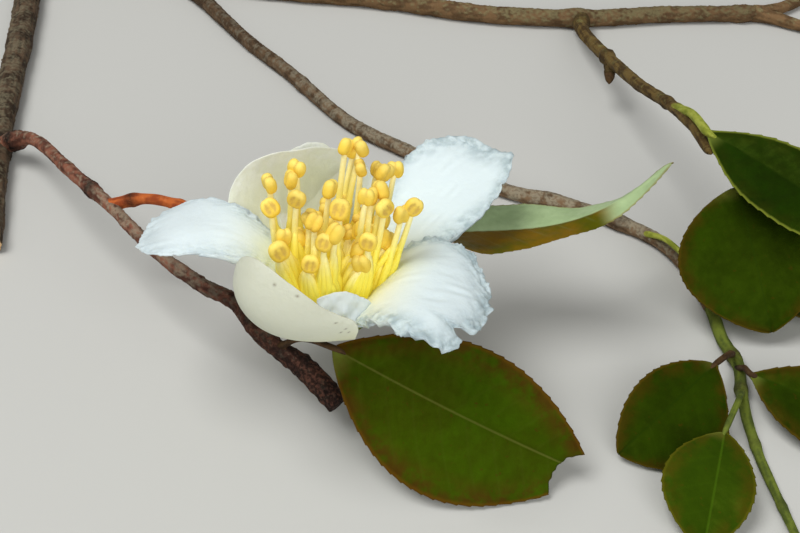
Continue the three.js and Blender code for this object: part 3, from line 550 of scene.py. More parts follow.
def bud_surface(spec, seed):
    """A pointed bud on a limb's tip: a circle carried along its axis with radius sin(pi t^0.75)^0.85, marked
    by two spirals of scale edges, each a saw-tooth of the turn and the height."""
    below, tip = np.array(spec["path"][-2:], float)
    axis = unit(tip - below)
    size = spec["bud"]
    rows, around = BUD["mesh"]
    t = np.linspace(*BUD["ends"], rows)[:, None]
    angle = full_turn(around)
    scale = (BUD["spirals"] * t + angle / np.pi) % 1
    radius = size * np.sin(np.pi * t ** 0.75) ** 0.85 * between(BUD["scales"], scale ** 0.5)
    path = tip + axis * size * (BUD["seat"] + BUD["stretch"] * (2 * t - 1))
    rings = carried(path, radius, angle, (0.1, 0, 1))
    values = dict(crease=1 - BUD["crease"] * ramp(0, 0.25, scale),
                  knot=0.25 * ramp(0.2, 1.2, ripples(rings, 0.8, seed)))
    return closed_tube(rings, path[0], path[-1], values)


# The leaves

def leaf_surface(spec, seed):
    """A leaf's blade. s runs from foot to tip and v from -1 to 1 across. The midrib's bow and sweep and the
    fold of each half are polynomials of s, of which a single bow b gives 4 b s (1 - s). Each half is its
    half width times a power of sin(pi s^full) wide. Teeth are a saw-tooth of s that moves only the margin.
    The upper side is hollowed at the midrib and the side veins. A bite ends each line of constant v where it
    first meets the bitten ball. One half takes the colour of the underside as far as a part of the length; on
    the sky sheen leaf that is the half without painted sheen, and the rest of its upper side is a painted sky
    reflection."""
    rows, columns = spec.get("mesh", LEAF_MESH)
    base, tip, up = (np.array(spec[key], float) for key in ("base", "tip", "up"))
    span = tip - base
    length = np.linalg.norm(span)
    along = span / length
    normal = unit(up - along * (up @ along))
    side = np.cross(normal, along)
    v = np.linspace(-1, 1, columns)[None, :]
    v = np.sign(v) * np.abs(v) ** LEAF_CROWD
    far_fold = spec.get("fold", LEAF_FOLD)
    near_fold = spec.get("near_fold", far_fold)

    def blade(s):
        """The blade's points, their reach from the midrib and the blade's half width there, at each s."""
        widths = [half * np.sin(np.pi * s ** full) ** spec.get("round", LEAF_ROUND)
                  for half, full in zip(spec["half"], spec.get("full", (1, 1)))]
        tooth = TOOTH["height"] * (((s * spec["teeth"]) % 1) ** 2 - TOOTH["sink"])
        toothed = np.abs(v) ** TOOTH["sharp"] * ramp(0.03, 0.12, s) * ramp(1.0, 0.9, s)
        whole = np.where(v >= 0, *widths) + tooth * toothed
        reach = v * whole
        lift = np.radians(np.where(v < 0, through(s, near_fold), through(s, far_fold)))
        bow, sweep = (through(s, (0, *np.atleast_1d(spec.get(key, 0)), 0)) for key in ("bow", "sweep"))
        noise = ripples(joined(s * length, np.sign(v) * EDGE_WAVE_SIZE, 0), EDGE_WAVE_SIZE, seed)
        rise = bow + np.abs(reach) * np.sin(lift) + spec["wave"] * np.abs(v) ** 3 * noise
        aside = sweep + reach * np.cos(lift)
        return base + span * s[..., None] + side * aside[..., None] + normal * rise[..., None], reach, whole

    last = LEAF_ENDS[1]
    if "bite" in spec:
        middle, radius = spec["bite"]
        start, steps = BITE["search"]
        s = np.linspace(start, LEAF_ENDS[1], steps)[:, None] + 0 * v
        points, _, _ = blade(s)
        ragged = radius + BITE["ragged"] * ripples(points, BITE["size"], seed + 9)
        inside = np.linalg.norm(points - np.array(middle), axis=-1) < ragged
        last = s[np.where(inside.any(0), inside.argmax(0), steps - 1), 0][None, :]
    s = LEAF_ENDS[0] + (last - LEAF_ENDS[0]) * np.linspace(0, 1, rows)[:, None] + 0 * v
    middle, reach, whole = blade(s)
    margin = whole * (1 - np.abs(v))
    run = s * length
    spacing = length / VEIN["count"]
    phase = (run - VEIN["lean"] * np.abs(reach) - VEIN["curve"] * reach ** 2) / spacing
    phase = (phase + 0.5 * (reach < 0)) % 1
    vein = bell((phase - 0.5) * spacing, VEIN["width"]) * ramp(0.4, 2.0, margin)
    rib = bell(reach, RIB["width"] * (1.15 - s))
    flat = joined(run, reach, 0)
    lift = (QUILT["height"] * ripples(flat, QUILT["size"], seed + 3)
            + BLADE_WAVE["height"] * ripples(flat, BLADE_WAVE["size"], seed + 4) * ramp(0, 3, np.abs(reach))
            - RIB["hollow"] * rib - VEIN["hollow"] * vein)
    thick = LEAF_THICK * between((0.35, 1), ramp(0, 1.2, margin)) + RIB["ridge"] * rib * (1.1 - s)
    # One half, up to a part of the length, takes the underside's colour: on the sky sheen leaf, the half
    # without the painted sky reflection.
    past_unsheened = s - spec.get("dark_half", 0) - UNSHEENED_SLANT * reach
    values = dict(margin=margin, dark_half=ramp(0.15, -0.1, reach) * ramp(0.12, 0, past_unsheened))
    return closed_shell(middle, lift, thick, values, joined(run, reach))


def stalk_surface(spec, seed):
    """A leaf's stalk: a circle carried from the twig into the foot of the midrib, wider at its foot, grooved
    along its upper side, and drawn to a point under the midrib."""
    base, tip = (np.array(spec[key], float) for key in ("base", "tip"))
    inward = base + (tip - base) * STALK["inward"]
    path, along = smooth_path([*spec["stalk"][:-1], base, inward], STALK["step"])
    part = along / along[-1]
    radius = spec.get("stalk_radius", STALK["radius"]) + STALK["flare"] * bell(part, STALK["flare_reach"])
    ending = (part - STALK["point"]) / (1 - STALK["point"])
    radius = radius * np.where(ending > 0, np.cos(1.45 * ending), 1)
    angle = full_turn(STALK["around"])
    rod = straight_rod(radius, angle, along)
    furrow = ripples(rod * [1, 1, STALK["drawn_out"]], STALK["furrow_size"], seed)
    groove = STALK["groove"] * bell(angle, STALK["groove_width"])
    rings = carried(path, radius[:, None] * (1 + STALK["furrow"] * furrow - groove), angle, (0.05, 0.02, 1))
    values = dict(crease=np.clip(0.5 - 0.5 * furrow, 0, 1),
                  knot=STALK["knot"] * bell(part, STALK["knot_reach"])[:, None])
    return closed_tube(rings, path[0], path[-1], values)


# The flower

flower_up = unit(FLOWER_AXIS)
flower_east = unit(np.array([1.0, 0, 0]) - flower_up[0] * flower_up)
flower_north = np.cross(flower_up, flower_east)


def flower_point(turn, out, height, sideways=0.0):
    """A place round the flower: `out` from its axis towards `turn`, `sideways` square to that, and as high
    as `height`."""
    east = out * np.cos(turn) - sideways * np.sin(turn)
    north = out * np.sin(turn) + sideways * np.cos(turn)
    return (FLOWER + east[..., None] * flower_east + north[..., None] * flower_north
            + (height + 0 * east)[..., None] * flower_up)


def petal_surface(spec, seed, mesh=PETAL_MESH, thick=PETAL_THICK):
    """A petal. u runs from claw to rim and v from -1 to 1 across. How far a line of constant v runs is a
    rounded end, (1 - |0.93 v|^q)^(1/q), with lobes, notches and tears added. The middle line is an arc whose
    slope goes evenly from claw to rim, the width on each side is a power of the run, and the two sides bend
    up, or down where the cup is negative. Fine furrows fan out towards the rim, broad waves grow with the
    run, and the last stretch before the rim is crimped."""
    u = np.linspace(0, 1, mesh[0])[:, None]
    v = np.linspace(-1, 1, mesh[1])[None, :]
    half, spread, narrow = (between(spec[key], 0.5 + 0.5 * np.tanh(3 * v))
                            for key in ("half", "spread", "narrow"))
    square = spec.get("square", PETAL_SQUARENESS)
    end = (1 - np.abs(PETAL_RIM * v) ** square) ** (1 / square) * (1 + spec.get("skew", 0) * v)
    for place, wide, high in spec.get("lobes", ()):
        end = end + high * bell(v - place, wide)
    torn, side = spec["torn"]
    tear = sum(share * ripples(joined(v * half, 0, 0), size, seed + number)
               for number, (size, share) in enumerate(TEARS))
    end = end + torn * tear * (1 + TORN_SIDE * side * v)
    run = u * end
    along = run * spec["length"]
    width = half * (narrow + (1 - narrow) * run ** spread)
    bend = np.radians(spec["cup"]) * run + 1e-6
    sideways = width * np.sin(v * bend) / bend
    lift = width * (1 - np.cos(v * bend)) / bend + spec.get("roll", 0) * v * width
    first, last = np.radians(spec["slope"])
    slope = between((first, last), run)
    arc = spec["length"] / (last - first)
    out = spec["claw"][0] + arc * (np.sin(slope) - np.sin(first)) - lift * np.sin(slope)
    height = spec["claw"][1] - arc * (np.cos(slope) - np.cos(first)) + lift * np.cos(slope)
    middle = flower_point(np.radians(spec["turn"]), out, height, sideways)
    fan = joined(v * half * between((FURROW_FAN, 1), run), along * FURROW_DRAWN_OUT, 0)
    flat = joined(sideways, along, 0)
    inward = np.minimum(end * (1 - u) * spec["length"], width * (1 - np.abs(v)))
    edge = 1 - inward.clip(0, RIM_REACH) / RIM_REACH
    furrow = ripples(fan, FURROW_SIZE, seed + 2) * ramp(-0.6, 0.9, ripples(flat, PATCH_SIZE, seed + 5))
    crimp = sum(share * ripples(flat, size, seed + number)
                for number, (size, share) in zip((4, 6), CRIMPS))
    bump = (spec["furrow"] * furrow * ramp(0.2, 0.8, run)
            + spec["wave"] * ripples(flat, PETAL_WAVE_SIZE, seed + 3) * run ** 1.3
            + spec.get("crimp", 0) * crimp * edge ** 3)
    speck = sum((bell(np.hypot(v * half - x, along - y), SPECK) for x, y in spec.get("specks", ())), 0)
    values = dict(run=run, edge=edge, furrow=0.5 + 0.5 * furrow, speck=speck)
    return closed_shell(middle, bump, between(thick, ramp(0.1, 1.0, run)), values, joined(v * half, along))


def flap_surface(seed):
    """The fold of the front petal that stands up round the foot of the stamens: a band between two turns
    about the flower's axis, whose lower and upper edges are parabolas of the turn. It is crumpled by smooth
    noise, more towards its lower edge."""
    rows, columns = FLAP["mesh"]
    t = np.linspace(0, 1, columns)[None, :]
    rise = np.linspace(0, 1, rows)[:, None]
    size, ragged = FLAP["ragged"]
    top = through(t, FLAP["top"]) + ragged * ripples(joined(FLAP["run"] * t, 0, 0), size, seed)
    height = between((through(t, FLAP["low"]), top), rise)
    out = between(FLAP["out"], t ** 2) - FLAP["lean"] * (rise - FLAP["pivot"]) * np.sin(np.pi * t) ** 0.5
    middle = flower_point(np.radians(between(FLAP["turns"], t)), out, height)
    flat = joined(FLAP["run"] * t, height, 0)
    (large_size, large), (small_size, small) = FLAP["crumples"]
    fine = ripples(flat, small_size, seed + 2)
    crumple = large * ripples(flat, large_size, seed + 1) + small * fine
    crumple = crumple * between((1.1, 0.5), rise) * ramp(0, 0.1, t)
    values = dict(run=0.75, edge=0.25 * rise, furrow=0.5 + 0.5 * fine)
    return closed_shell(middle, crumple, np.full(height.shape, FLAP["thick"]), values, flat[..., :2])


def turned_surface(outline):
    """An outline turned about the flower's axis, in small straight steps."""
    r, h = np.array(outline, float).T
    t = np.linspace(0, len(r) - 1, TURNED_STEPS * (len(r) - 1) + 1)[1:-1, None]
    radius, height = (np.interp(t, np.arange(len(r)), values) for values in (r, h))
    rings = flower_point(full_turn(TURNED_AROUND), radius, height)
    first, last = FLOWER + h[0] * flower_up, FLOWER + h[-1] * flower_up
    return closed_tube(rings, first, last, dict(along=ramp(h.min(), h.max(), height)))


def filament_surface(place, seed, aside=0.0, inward=0.0, share=1.0, mesh=THREAD_MESH):
    """A stamen's thread: a circle carried from the flower's foot to its anther. Its distance from the axis
    goes as the root of the height, and it sways a little by noise. A thread that leans on it starts `aside`
    and `inward` of its foot, closes in by 1 - (part of its height)^3, and ends thin, inside it, at a share
    of its height. Gives also the thread's tip and its direction there."""
    east, north, top, _ = place
    sways = np.random.default_rng(seed).normal(size=2) * FILAMENT["sway"]
    turn = math.atan2(north, east)
    far = math.hypot(east, north)
    foot = min(far, between(FILAMENT["foot"], min(1, far / FILAMENT["foot_reach"])))
    part = np.linspace(0, 1, mesh[0])
    t = part * share
    apart = 1 - part ** 3
    height = between((FILAMENT["root"], top - FILAMENT["below_anther"]), t)
    out = between((foot, far), t ** FILAMENT["flare"]) + inward * apart
    sway = sways[0] * np.sin(np.pi * t) + sways[1] * np.sin(2 * np.pi * t) + aside * apart
    path = flower_point(turn, out, height, sway)
    radius = between(FILAMENT["radius"], ramp(0, 1, t))
    if share < 1:
        radius = radius * (1 - FILAMENT["thinned"] * ramp(0.8, 1, part))
    rings = carried(path, radius[:, None], full_turn(mesh[1]), (1, 0.2, 0))
    thread = closed_tube(rings, path[0], path[-1], dict(along=t[:, None]))
    return thread, path[-1], unit(path[-1] - path[-2])


def anther_surface(tip, upward, open_face, seed):
    """An anther: a ball stretched along the thread, squared and flattened, pinched along its middle into two
    lobes by 1 less a bell curve of x. An open face turns to the front, hollowed to a dish with a low ridge
    down its middle, and shows tan inside a yellow rim."""
    draw = np.random.default_rng(seed)
    kind = OPEN_ANTHER if open_face else CLOSED_ANTHER
    rows, around = ANTHER["mesh"]
    polar = np.linspace(0, np.pi, rows + 2)[1:-1][:, None]
    angle = full_turn(around)[None, :]
    x, y, z = np.sin(polar) * np.cos(angle), np.sin(polar) * np.sin(angle), np.cos(polar) + 0 * angle
    power = kind["power"]
    squared = (np.abs(x) ** power + np.abs(y) ** power + np.abs(z) ** power) ** (-1 / power)
    pinch = 1 - kind["pinched"] * bell(x, ANTHER["pinch"]) * (1 - 0.5 * z ** 2)
    dish = np.exp(-(np.hypot(x, z) / ANTHER["dish"]) ** 4) * (y > 0)
    ridge = bell(x, ANTHER["ridge"]) * dish
    size = draw.uniform(0.9, 1.1) * kind["size"]
    lean = unit(upward + ANTHER["lean"] * draw.normal(size=3))
    cheeks = dish * (1 - 0.9 * ridge)
    if open_face:
        hollow = ANTHER["dish_depth"] * dish - ANTHER["ridge_depth"] * ridge
        front = OPEN_FACE_WAY * np.array([draw.normal(), 1, 1])
    else:
        hollow = ANTHER["closed_depth"] * dish
        front = draw.normal(size=3)
    front = unit(front - lean * (front @ lean))
    sides = size * np.array([ANTHER["wide"], ANTHER["deep"], ANTHER["long"]])
    shape = joined(x, y * (1 - hollow), z) * (squared * pinch)[..., None] * sides
    points = tip + shape @ np.array([np.cross(front, lean), front, lean])
    cheeks = ramp(0.25, 0.8, cheeks + 0.12 * ripples(shape, 0.5, seed))
    ripe = draw.uniform(0, 0.3)
    tan = 0.85 * cheeks if open_face else np.maximum(0.2 * cheeks, 0.75 * bell(x, ANTHER["groove"]))
    values = dict(tan=np.maximum(ripe, tan)[:, ::-1], along=0.5 + 0.5 * z)
    poles = [tip + lean * sides[2] * s * 0.8 for s in (1, -1)]
    return closed_tube(points[:, ::-1], *poles, values)


# The finishes

def paint(code):
    """A colour written as on screen, in the linear values that a shader takes."""
    part = np.array([int(code[i:i + 2], 16) / 255 for i in (1, 3, 5)])
    return (*np.where(part <= 0.04045, part / 12.92, ((part + 0.055) / 1.055) ** 2.4), 1.0)


def add(tree, kind, inputs, **settings):
    """A node with its settings, and its inputs given a value or joined to a socket."""
    node = tree.nodes.new(kind)
    for key, value in settings.items():
        setattr(node, key, value)
    for key, value in inputs.items():
        if isinstance(value, bpy.types.NodeSocket):
            tree.links.new(value, node.inputs[key])
        else:
            node.inputs[key].default_value = value
    return node


def maths(tree, what, *values, clamp=False):
    """One step of arithmetic."""
    return add(tree, "ShaderNodeMath", dict(enumerate(values)), operation=what, use_clamp=clamp).outputs[0]


def times(tree, *values, clamp=False):
    """The product of two values or more."""
    product = values[0]
    for value in values[1:]:
        product = maths(tree, "MULTIPLY", product, value, clamp=clamp)
    return product


def blend_colours(tree, amount, first, second):
    """The second colour laid over the first by the amount."""
    return add(tree, "ShaderNodeMix", {0: amount, 6: first, 7: second}, data_type="RGBA").outputs[2]


def stepped(tree, value, low, high, to_low=0.0, to_high=1.0):
    """The value taken from one range to another by a smooth step."""
    return add(tree, "ShaderNodeMapRange", {0: value, 1: low, 2: high, 3: to_low, 4: to_high},
               interpolation_type="SMOOTHSTEP").outputs[0]


def point_value(tree, name):
    """A value that the mesh carries at each point."""
    return add(tree, "ShaderNodeAttribute", {}, attribute_name=name).outputs["Fac"]


def placed(tree, group, inputs):
    """An effect placed with values of its own."""
    return add(tree, "ShaderNodeGroup", inputs, node_tree=group)


def mottled(tree, size, spread, middle=0.5):
    """Clouds of a size in millimetres, from the shared effect."""
    return placed(tree, MOTTLE, {"Size mm": size, "Spread": spread, "Middle": middle}).outputs[0]


def effect(name, colours, numbers, outputs):
    """A group whose sockets are the named colours and numbers going in and, coming out, what is named
    there."""
    tree = bpy.data.node_groups.new(name, "ShaderNodeTree")
    for key in colours:
        tree.interface.new_socket(key, in_out="INPUT", socket_type="NodeSocketColor")
    for key, value in numbers.items():
        tree.interface.new_socket(key, in_out="INPUT", socket_type="NodeSocketFloat").default_value = value
    for key in outputs:
        kind = "NodeSocketColor" if key == "Color" else "NodeSocketFloat"
        tree.interface.new_socket(key, in_out="OUTPUT", socket_type=kind)
    return tree, add(tree, "NodeGroupInput", {}).outputs, add(tree, "NodeGroupOutput", {}).inputs


def give(tree, outputs, **results):
    """Joins an effect's results to its outputs."""
    for key, value in results.items():
        tree.links.new(value, outputs[key])
    return tree


def make_mottle():
    """Clouds on the piece's own coordinates: noise of a given size in millimetres, its contrast raised."""
    tree, given, out = effect("mottle", (), {"Size mm": 1.0, "Spread": 0.15, "Middle": 0.5}, ("Value",))
    place = add(tree, "ShaderNodeTexCoord", {}).outputs["Object"]
    scale = maths(tree, "DIVIDE", 1 / METRES, given["Size mm"])
    noise = add(tree, "ShaderNodeTexNoise",
                {"Vector": place, "Scale": scale, "Detail": 4.0, "Roughness": 0.6}).outputs["Fac"]
    low = maths(tree, "SUBTRACT", given["Middle"], given["Spread"])
    high = maths(tree, "ADD", given["Middle"], given["Spread"])
    return give(tree, out, Value=stepped(tree, noise, low, high))


def make_bark_skin():
    """Bark: two browns in clouds, darker in the creases and at knots, with lichen where the mesh carries it
    and pale wood where it was cut."""
    tree, given, out = effect("bark_skin", ("Light", "Dark", "Lichen", "Knot"), {"Freckle": 0.4},
                              SKIN_RESULTS)
    clouds, fine, freckles = (mottled(tree, *look) for look in BARK_CLOUDS.values())
    shade = maths(tree, "MULTIPLY_ADD", point_value(tree, "crease"), 0.55, times(tree, clouds, 0.45))
    colour = blend_colours(tree, stepped(tree, shade, 0.25, 0.8), given["Light"], given["Dark"])
    colour = blend_colours(tree, times(tree, freckles, given["Freckle"]), colour, given["Lichen"])
    ragged = times(tree, point_value(tree, "lichen"), stepped(tree, fine, 0.1, 0.6, 0.35, 1.0), clamp=True)
    thin_lichen = blend_colours(tree, 0.35, given["Lichen"], given["Light"])
    lichen = blend_colours(tree, fine, given["Lichen"], thin_lichen)
    colour = blend_colours(tree, times(tree, ragged, 0.75), colour, lichen)
    knot = times(tree, point_value(tree, "knot"), stepped(tree, fine, 0.0, 0.7, 0.7, 0.95))
    colour = blend_colours(tree, knot, colour, given["Knot"])
    return give(tree, out, Color=blend_colours(tree, point_value(tree, "cut"), colour, paint(SAWN_WOOD)),
                Roughness=stepped(tree, fine, 0.0, 1.0, *BARK_ROUGHNESS),
                Height=maths(tree, "ADD", times(tree, fine, 0.6), times(tree, ragged, 0.8)))


def make_leaf_skin():
    """A leaf: green in clouds, deeper between the veins, a pale midrib, side veins that leave it on either
    side in turn, and a margin that reddens and browns. The map holds millimetres along and across the
    blade."""
    tree, given, out = effect(
        "leaf_skin", ("Green", "Deep", "Margin", "Rust", "Rib", "Under"),
        {"Margin mm": 1.0, "Rust amount": 0.4, "Vein mm": 3.4, "Vein amount": 0.3}, SKIN_RESULTS)
    flat = add(tree, "ShaderNodeUVMap", {}, uv_map="blade").outputs[0]
    along, across, _ = add(tree, "ShaderNodeSeparateXYZ", {0: flat}).outputs
    far = maths(tree, "ABSOLUTE", across)
    curve = maths(tree, "MULTIPLY_ADD", times(tree, far, far), VEIN["curve"], times(tree, far, VEIN["lean"]))
    turn = maths(tree, "ADD", maths(tree, "DIVIDE", maths(tree, "SUBTRACT", along, curve), given["Vein mm"]),
                 times(tree, maths(tree, "LESS_THAN", across, 0.0), 0.5))
    off = maths(tree, "ABSOLUTE", maths(tree, "SUBTRACT", maths(tree, "FRACT", turn), 0.5))
    off = times(tree, off, given["Vein mm"])
    margin = point_value(tree, "margin")
    margins = maths(tree, "DIVIDE", margin, given["Margin mm"])
    vein = times(tree, stepped(tree, off, 0.05, 0.3, 1.0, 0.0), stepped(tree, margin, 0.3, 2.2))
    rib = stepped(tree, far, 0.05, 0.2, 1.0, 0.0)
    large, small, grain, patches, specks = (mottled(tree, *look) for look in LEAF_CLOUDS.values())
    green = blend_colours(tree, maths(tree, "MULTIPLY_ADD", large, 0.65, times(tree, small, 0.35)),
                          given["Green"], given["Deep"])
    wavy_margins = maths(tree, "ADD", margins, maths(tree, "SUBTRACT", large, 0.5))
    rust = times(tree, stepped(tree, wavy_margins, 0.5, 8.0, 1.0, 0.0),
                 times(tree, patches, given["Rust amount"]))
    layers = (  # how much of what is laid over the green, one after the other
        (rust, "Rust"), (times(tree, specks, times(tree, given["Rust amount"], 0.7)), "Rust"),
        (stepped(tree, margins, 0.2, 1.2, 0.8, 0.0), "Margin"),
        (times(tree, vein, given["Vein amount"]), "Rib"), (times(tree, rib, 0.5), "Rib"),
        (times(tree, grain, 0.12), "Deep"))
    for amount, colour in layers:
        green = blend_colours(tree, amount, green, given[colour])
    under = blend_colours(tree, times(tree, large, 0.8), given["Under"], given["Rust"])
    under = blend_colours(tree, times(tree, maths(tree, "MAXIMUM", vein, rib), 0.04), under, given["Rib"])
    # Undersides, and the half that the blade marks as without painted sheen, take the Under colour.
    beneath = maths(tree, "MAXIMUM", stepped(tree, point_value(tree, "under"), 0.4, 0.6),
                    point_value(tree, "dark_half"))
    return give(tree, out, Color=blend_colours(tree, beneath, green, under),
                Roughness=stepped(tree, small, 0.0, 1.0, *LEAF_ROUGHNESS),
                Height=maths(tree, "ADD", times(tree, vein, -0.25), times(tree, grain, 0.35)))


def make_petal_skin():
    """A petal: white above and a second colour beneath, tinted towards its claw, with painted edge shading
    along the furrows and crinkles near its rim (painted shade on the white petals, a painted lighter rim on
    the cream ones), with brown specks where the mesh carries them."""
    tree, given, out = effect("petal_skin", ("White", "Claw", "Edge shading", "Under"),
                              {"Edge shading amount": 0.4, "Speck amount": 0.5}, SKIN_RESULTS)
    run, edge, furrow = (point_value(tree, name) for name in ("run", "edge", "furrow"))
    crinkle, fine = (mottled(tree, *look) for look in PETAL_CLOUDS.values())
    beneath = stepped(tree, point_value(tree, "under"), 0.4, 0.6)
    colour = blend_colours(tree, beneath, given["White"], given["Under"])
    colour = blend_colours(tree, stepped(tree, run, 0.05, 0.6, 1.0, 0.0), colour, given["Claw"])
    folds = maths(tree, "MULTIPLY_ADD", crinkle, 0.5, maths(tree, "MULTIPLY_ADD", furrow, 0.3, 0.3))
    # Painted edge shading near the rim: a darker grey as painted shade on the white petals, standing also for
    # the grey of the thin rim, and a lighter rim as painted light through it on the cream ones.
    thin = times(tree, stepped(tree, edge, 0.1, 0.9), given["Edge shading amount"], folds)
    colour = blend_colours(tree, thin, colour, given["Edge shading"])
    speck = times(tree, point_value(tree, "speck"), given["Speck amount"], clamp=True)
    crumpled = maths(tree, "MULTIPLY_ADD", fine, 0.5, times(tree, crinkle, edge, 1.6))
    return give(tree, out, Color=blend_colours(tree, speck, colour, paint(SPECK_BROWN)),
                Roughness=stepped(tree, fine, 0.0, 1.0, *PETAL_ROUGHNESS),
                Height=maths(tree, "ADD", crumpled, furrow))


def new_material(name):
    """A material with an empty tree."""
    material = bpy.data.materials.new(name)
    material.use_nodes = True
    material.node_tree.nodes.clear()
    return material, material.node_tree


def surface_of(tree, inputs, height, bump):
    """A Principled shader with its inputs, whose normal is raised by `height` through a Bump."""
    strength, depth = bump
    normal = add(tree, "ShaderNodeBump", {"Strength": strength, "Distance": depth * METRES, "Height": height})
    surface = add(tree, "ShaderNodeBsdfPrincipled", {"Normal": normal.outputs[0], **inputs})
    add(tree, "ShaderNodeOutputMaterial", {"Surface": surface.outputs[0]})


def dressed(name, group, colours, numbers, bump, shader):
    """A material whose colour, roughness and height come from an effect. What else it has stands on the
    shader's own sockets."""
    material, tree = new_material(name)
    skin = placed(tree, group, {**{key: paint(code) for key, code in colours.items()}, **numbers}).outputs
    surface_of(tree, {"Base Color": skin["Color"], "Roughness": skin["Roughness"], **shader},
               skin["Height"], bump)
    return material


def bark(name, light, dark, lichen, knot, freckle):
    """One of the barks."""
    return dressed(name, BARK_SKIN, {"Light": light, "Dark": dark, "Lichen": lichen, "Knot": knot},
                   {"Freckle": freckle}, BARK_BUMP, {"Specular IOR Level": 0.16})


def leaf(name, green, deep, margin, rust, rib, under, width, rusty, veins):
    """One of the leaves' finishes."""
    return dressed(name, LEAF_SKIN,
                   {"Green": green, "Deep": deep, "Margin": margin, "Rust": rust, "Rib": rib, "Under": under},
                   {"Margin mm": width, "Rust amount": rusty, "Vein amount": veins}, SOFT_BUMP,
                   {"Specular IOR Level": 0.12, "Specular Tint": paint(LEAF_SHINE)})


def petal(name, white, claw, rim, under, edge_shading_amount, specks):
    """One of the petals' finishes."""
    return dressed(name, PETAL_SKIN, {"White": white, "Claw": claw, "Edge shading": rim, "Under": under},
                   {"Edge shading amount": edge_shading_amount, "Speck amount": specks}, SOFT_BUMP,
                   {"Subsurface Weight": 0.35, "Subsurface Scale": 0.0015,
                    "Subsurface Radius": (1.0, 0.95, 0.8)})


def stamen_finish(name, low, middle, high, tan, rough, glow):
    """A stamen part: three colours along a value, with tan laid over them where the mesh carries it. A faint
    glow of its own stands for the light that such thin yellow flesh lets through."""
    material, tree = new_material(name)
    along = point_value(tree, "along")
    colour = blend_colours(tree, stepped(tree, along, 0.0, 0.45), paint(low), paint(middle))
    colour = blend_colours(tree, stepped(tree, along, 0.45, 1.0), colour, paint(high))
    grain = mottled(tree, *STAMEN_GRAIN)
    colour = blend_colours(tree, times(tree, grain, 0.25), colour, paint(low))
    over = times(tree, point_value(tree, "tan"), stepped(tree, grain, 0.0, 1.0, 0.75, 1.0))
    colour = blend_colours(tree, over, colour, paint(tan))
    surface_of(tree, {"Base Color": colour, "Roughness": rough, "Emission Color": colour,
                      "Emission Strength": glow, "Specular IOR Level": 0.25}, grain, STAMEN_BUMP)
    return material


SKIN_RESULTS = ("Color", "Roughness", "Height")
# Clouds: size in millimetres, spread about the middle, and the middle where it isn't a half.
BARK_CLOUDS = dict(clouds=(2.4, 0.14), fine=(0.45, 0.16), freckles=(0.7, 0.05, 0.61))
LEAF_CLOUDS = dict(large=(7.0, 0.16), small=(1.6, 0.2), grain=(0.3, 0.25), patches=(2.2, 0.14, 0.46),
                   specks=(0.7, 0.05, 0.68))
PETAL_CLOUDS = dict(crinkle=(1.5, 0.12), fine=(0.6, 0.2))
STAMEN_GRAIN = (0.35, 0.2)
BARK_ROUGHNESS = (0.68, 0.92)
LEAF_ROUGHNESS = (0.36, 0.5)
PETAL_ROUGHNESS = (0.5, 0.7)
BARK_BUMP = (0.6, 0.12)  # strength, and depth in millimetres
SOFT_BUMP = (0.35, 0.08)
STAMEN_BUMP = (0.4, 0.05)
SAWN_WOOD = "#c9ab7c"
SPECK_BROWN = "#4a3a2a"
LEAF_SHINE = "#a8c040"
MOTTLE = make_mottle()
BARK_SKIN = make_bark_skin()
LEAF_SKIN = make_leaf_skin()
PETAL_SKIN = make_petal_skin()
BARKS = {  # light, dark, lichen, knot, and how thickly freckled
    "grey_bark": ("#5b4938", "#33271c", "#7a745e", "#18110c", 0.4),
    "brown_bark": ("#775f46", "#503e2b", "#a29c86", "#241a12", 0.25),
    "rear_bark": ("#775c3e", "#5a442c", "#8c8862", "#241a12", 0.12),
    "olive_bark": ("#6a562e", "#45341b", "#85824f", "#241a10", 0.2),
    "red_bark": ("#8a5844", "#513024", "#98907a", "#120d0a", 0.35),
    "orange_skin": ("#bf642f", "#924421", "#cf8a5a", "#2a1a12", 0.15),
    "green_skin": ("#667228", "#4a5620", "#808a44", "#2c2116", 0.1),
    "lime_stalk": ("#a3a945", "#7f882c", "#bcc070", "#5f5222", 0.1),
    "dark_stalk": ("#4f3a22", "#352516", "#6a5e36", "#1d120d", 0.1),
}
LEAF_COLOURS = {  # green, deep green, margin, rust, rib, underside; margin's width, rust, how clear the veins
    "front_leaf": ("#334b03", "#2f3803", "#57380c", "#42280a", "#60622c", "#66722e", 0.5, 0.95, 0.03),
    "green_leaf": ("#273a03", "#1b2802", "#4c3a0c", "#3c2c07", "#1d3004", "#66722e", 0.35, 0.8, 0.04),
    "dark_leaf": ("#1a3103", "#111f02", "#747c2c", "#2b2c06", "#142603", "#66722e", 0.35, 0.4, 0.04),
    "fresh_leaf": ("#304506", "#233604", "#54500f", "#473c0a", "#42600f", "#6c7a32", 0.35, 0.7, 0.05),
    # The sky sheen leaf's green, deep green and rib are a painted sky reflection on its upper side; its
    # underside colour is its own dark green-brown, shown also on the half without painted sheen.
    "pale_leaf": ("#adc293", "#93a97b", "#8c8450", "#3d4a08", "#a8bc8c", "#78590e", 0.2, 0.05, 0.08),
}
PETAL_COLOURS = {  # white, claw, painted edge shading, underside; how strong that painted shading is, and the specks
    "bright_petal": ("#deeef0", "#eef2d6", "#b0c2c7", "#d3dde2", 0.6, 0.3),
    "white_petal": ("#dbecee", "#eef2d6", "#90a4a9", "#c6d2d8", 0.9, 0.3),
    "cream_petal": ("#e4e8cc", "#e2e6b4", "#f2f4ea", "#dfe4cc", 0.8, 0.2),
    "shaded_petal": ("#dcdfcf", "#e4e4b8", "#bcc0ae", "#cbcfbc", 0.25, 0.8),
}
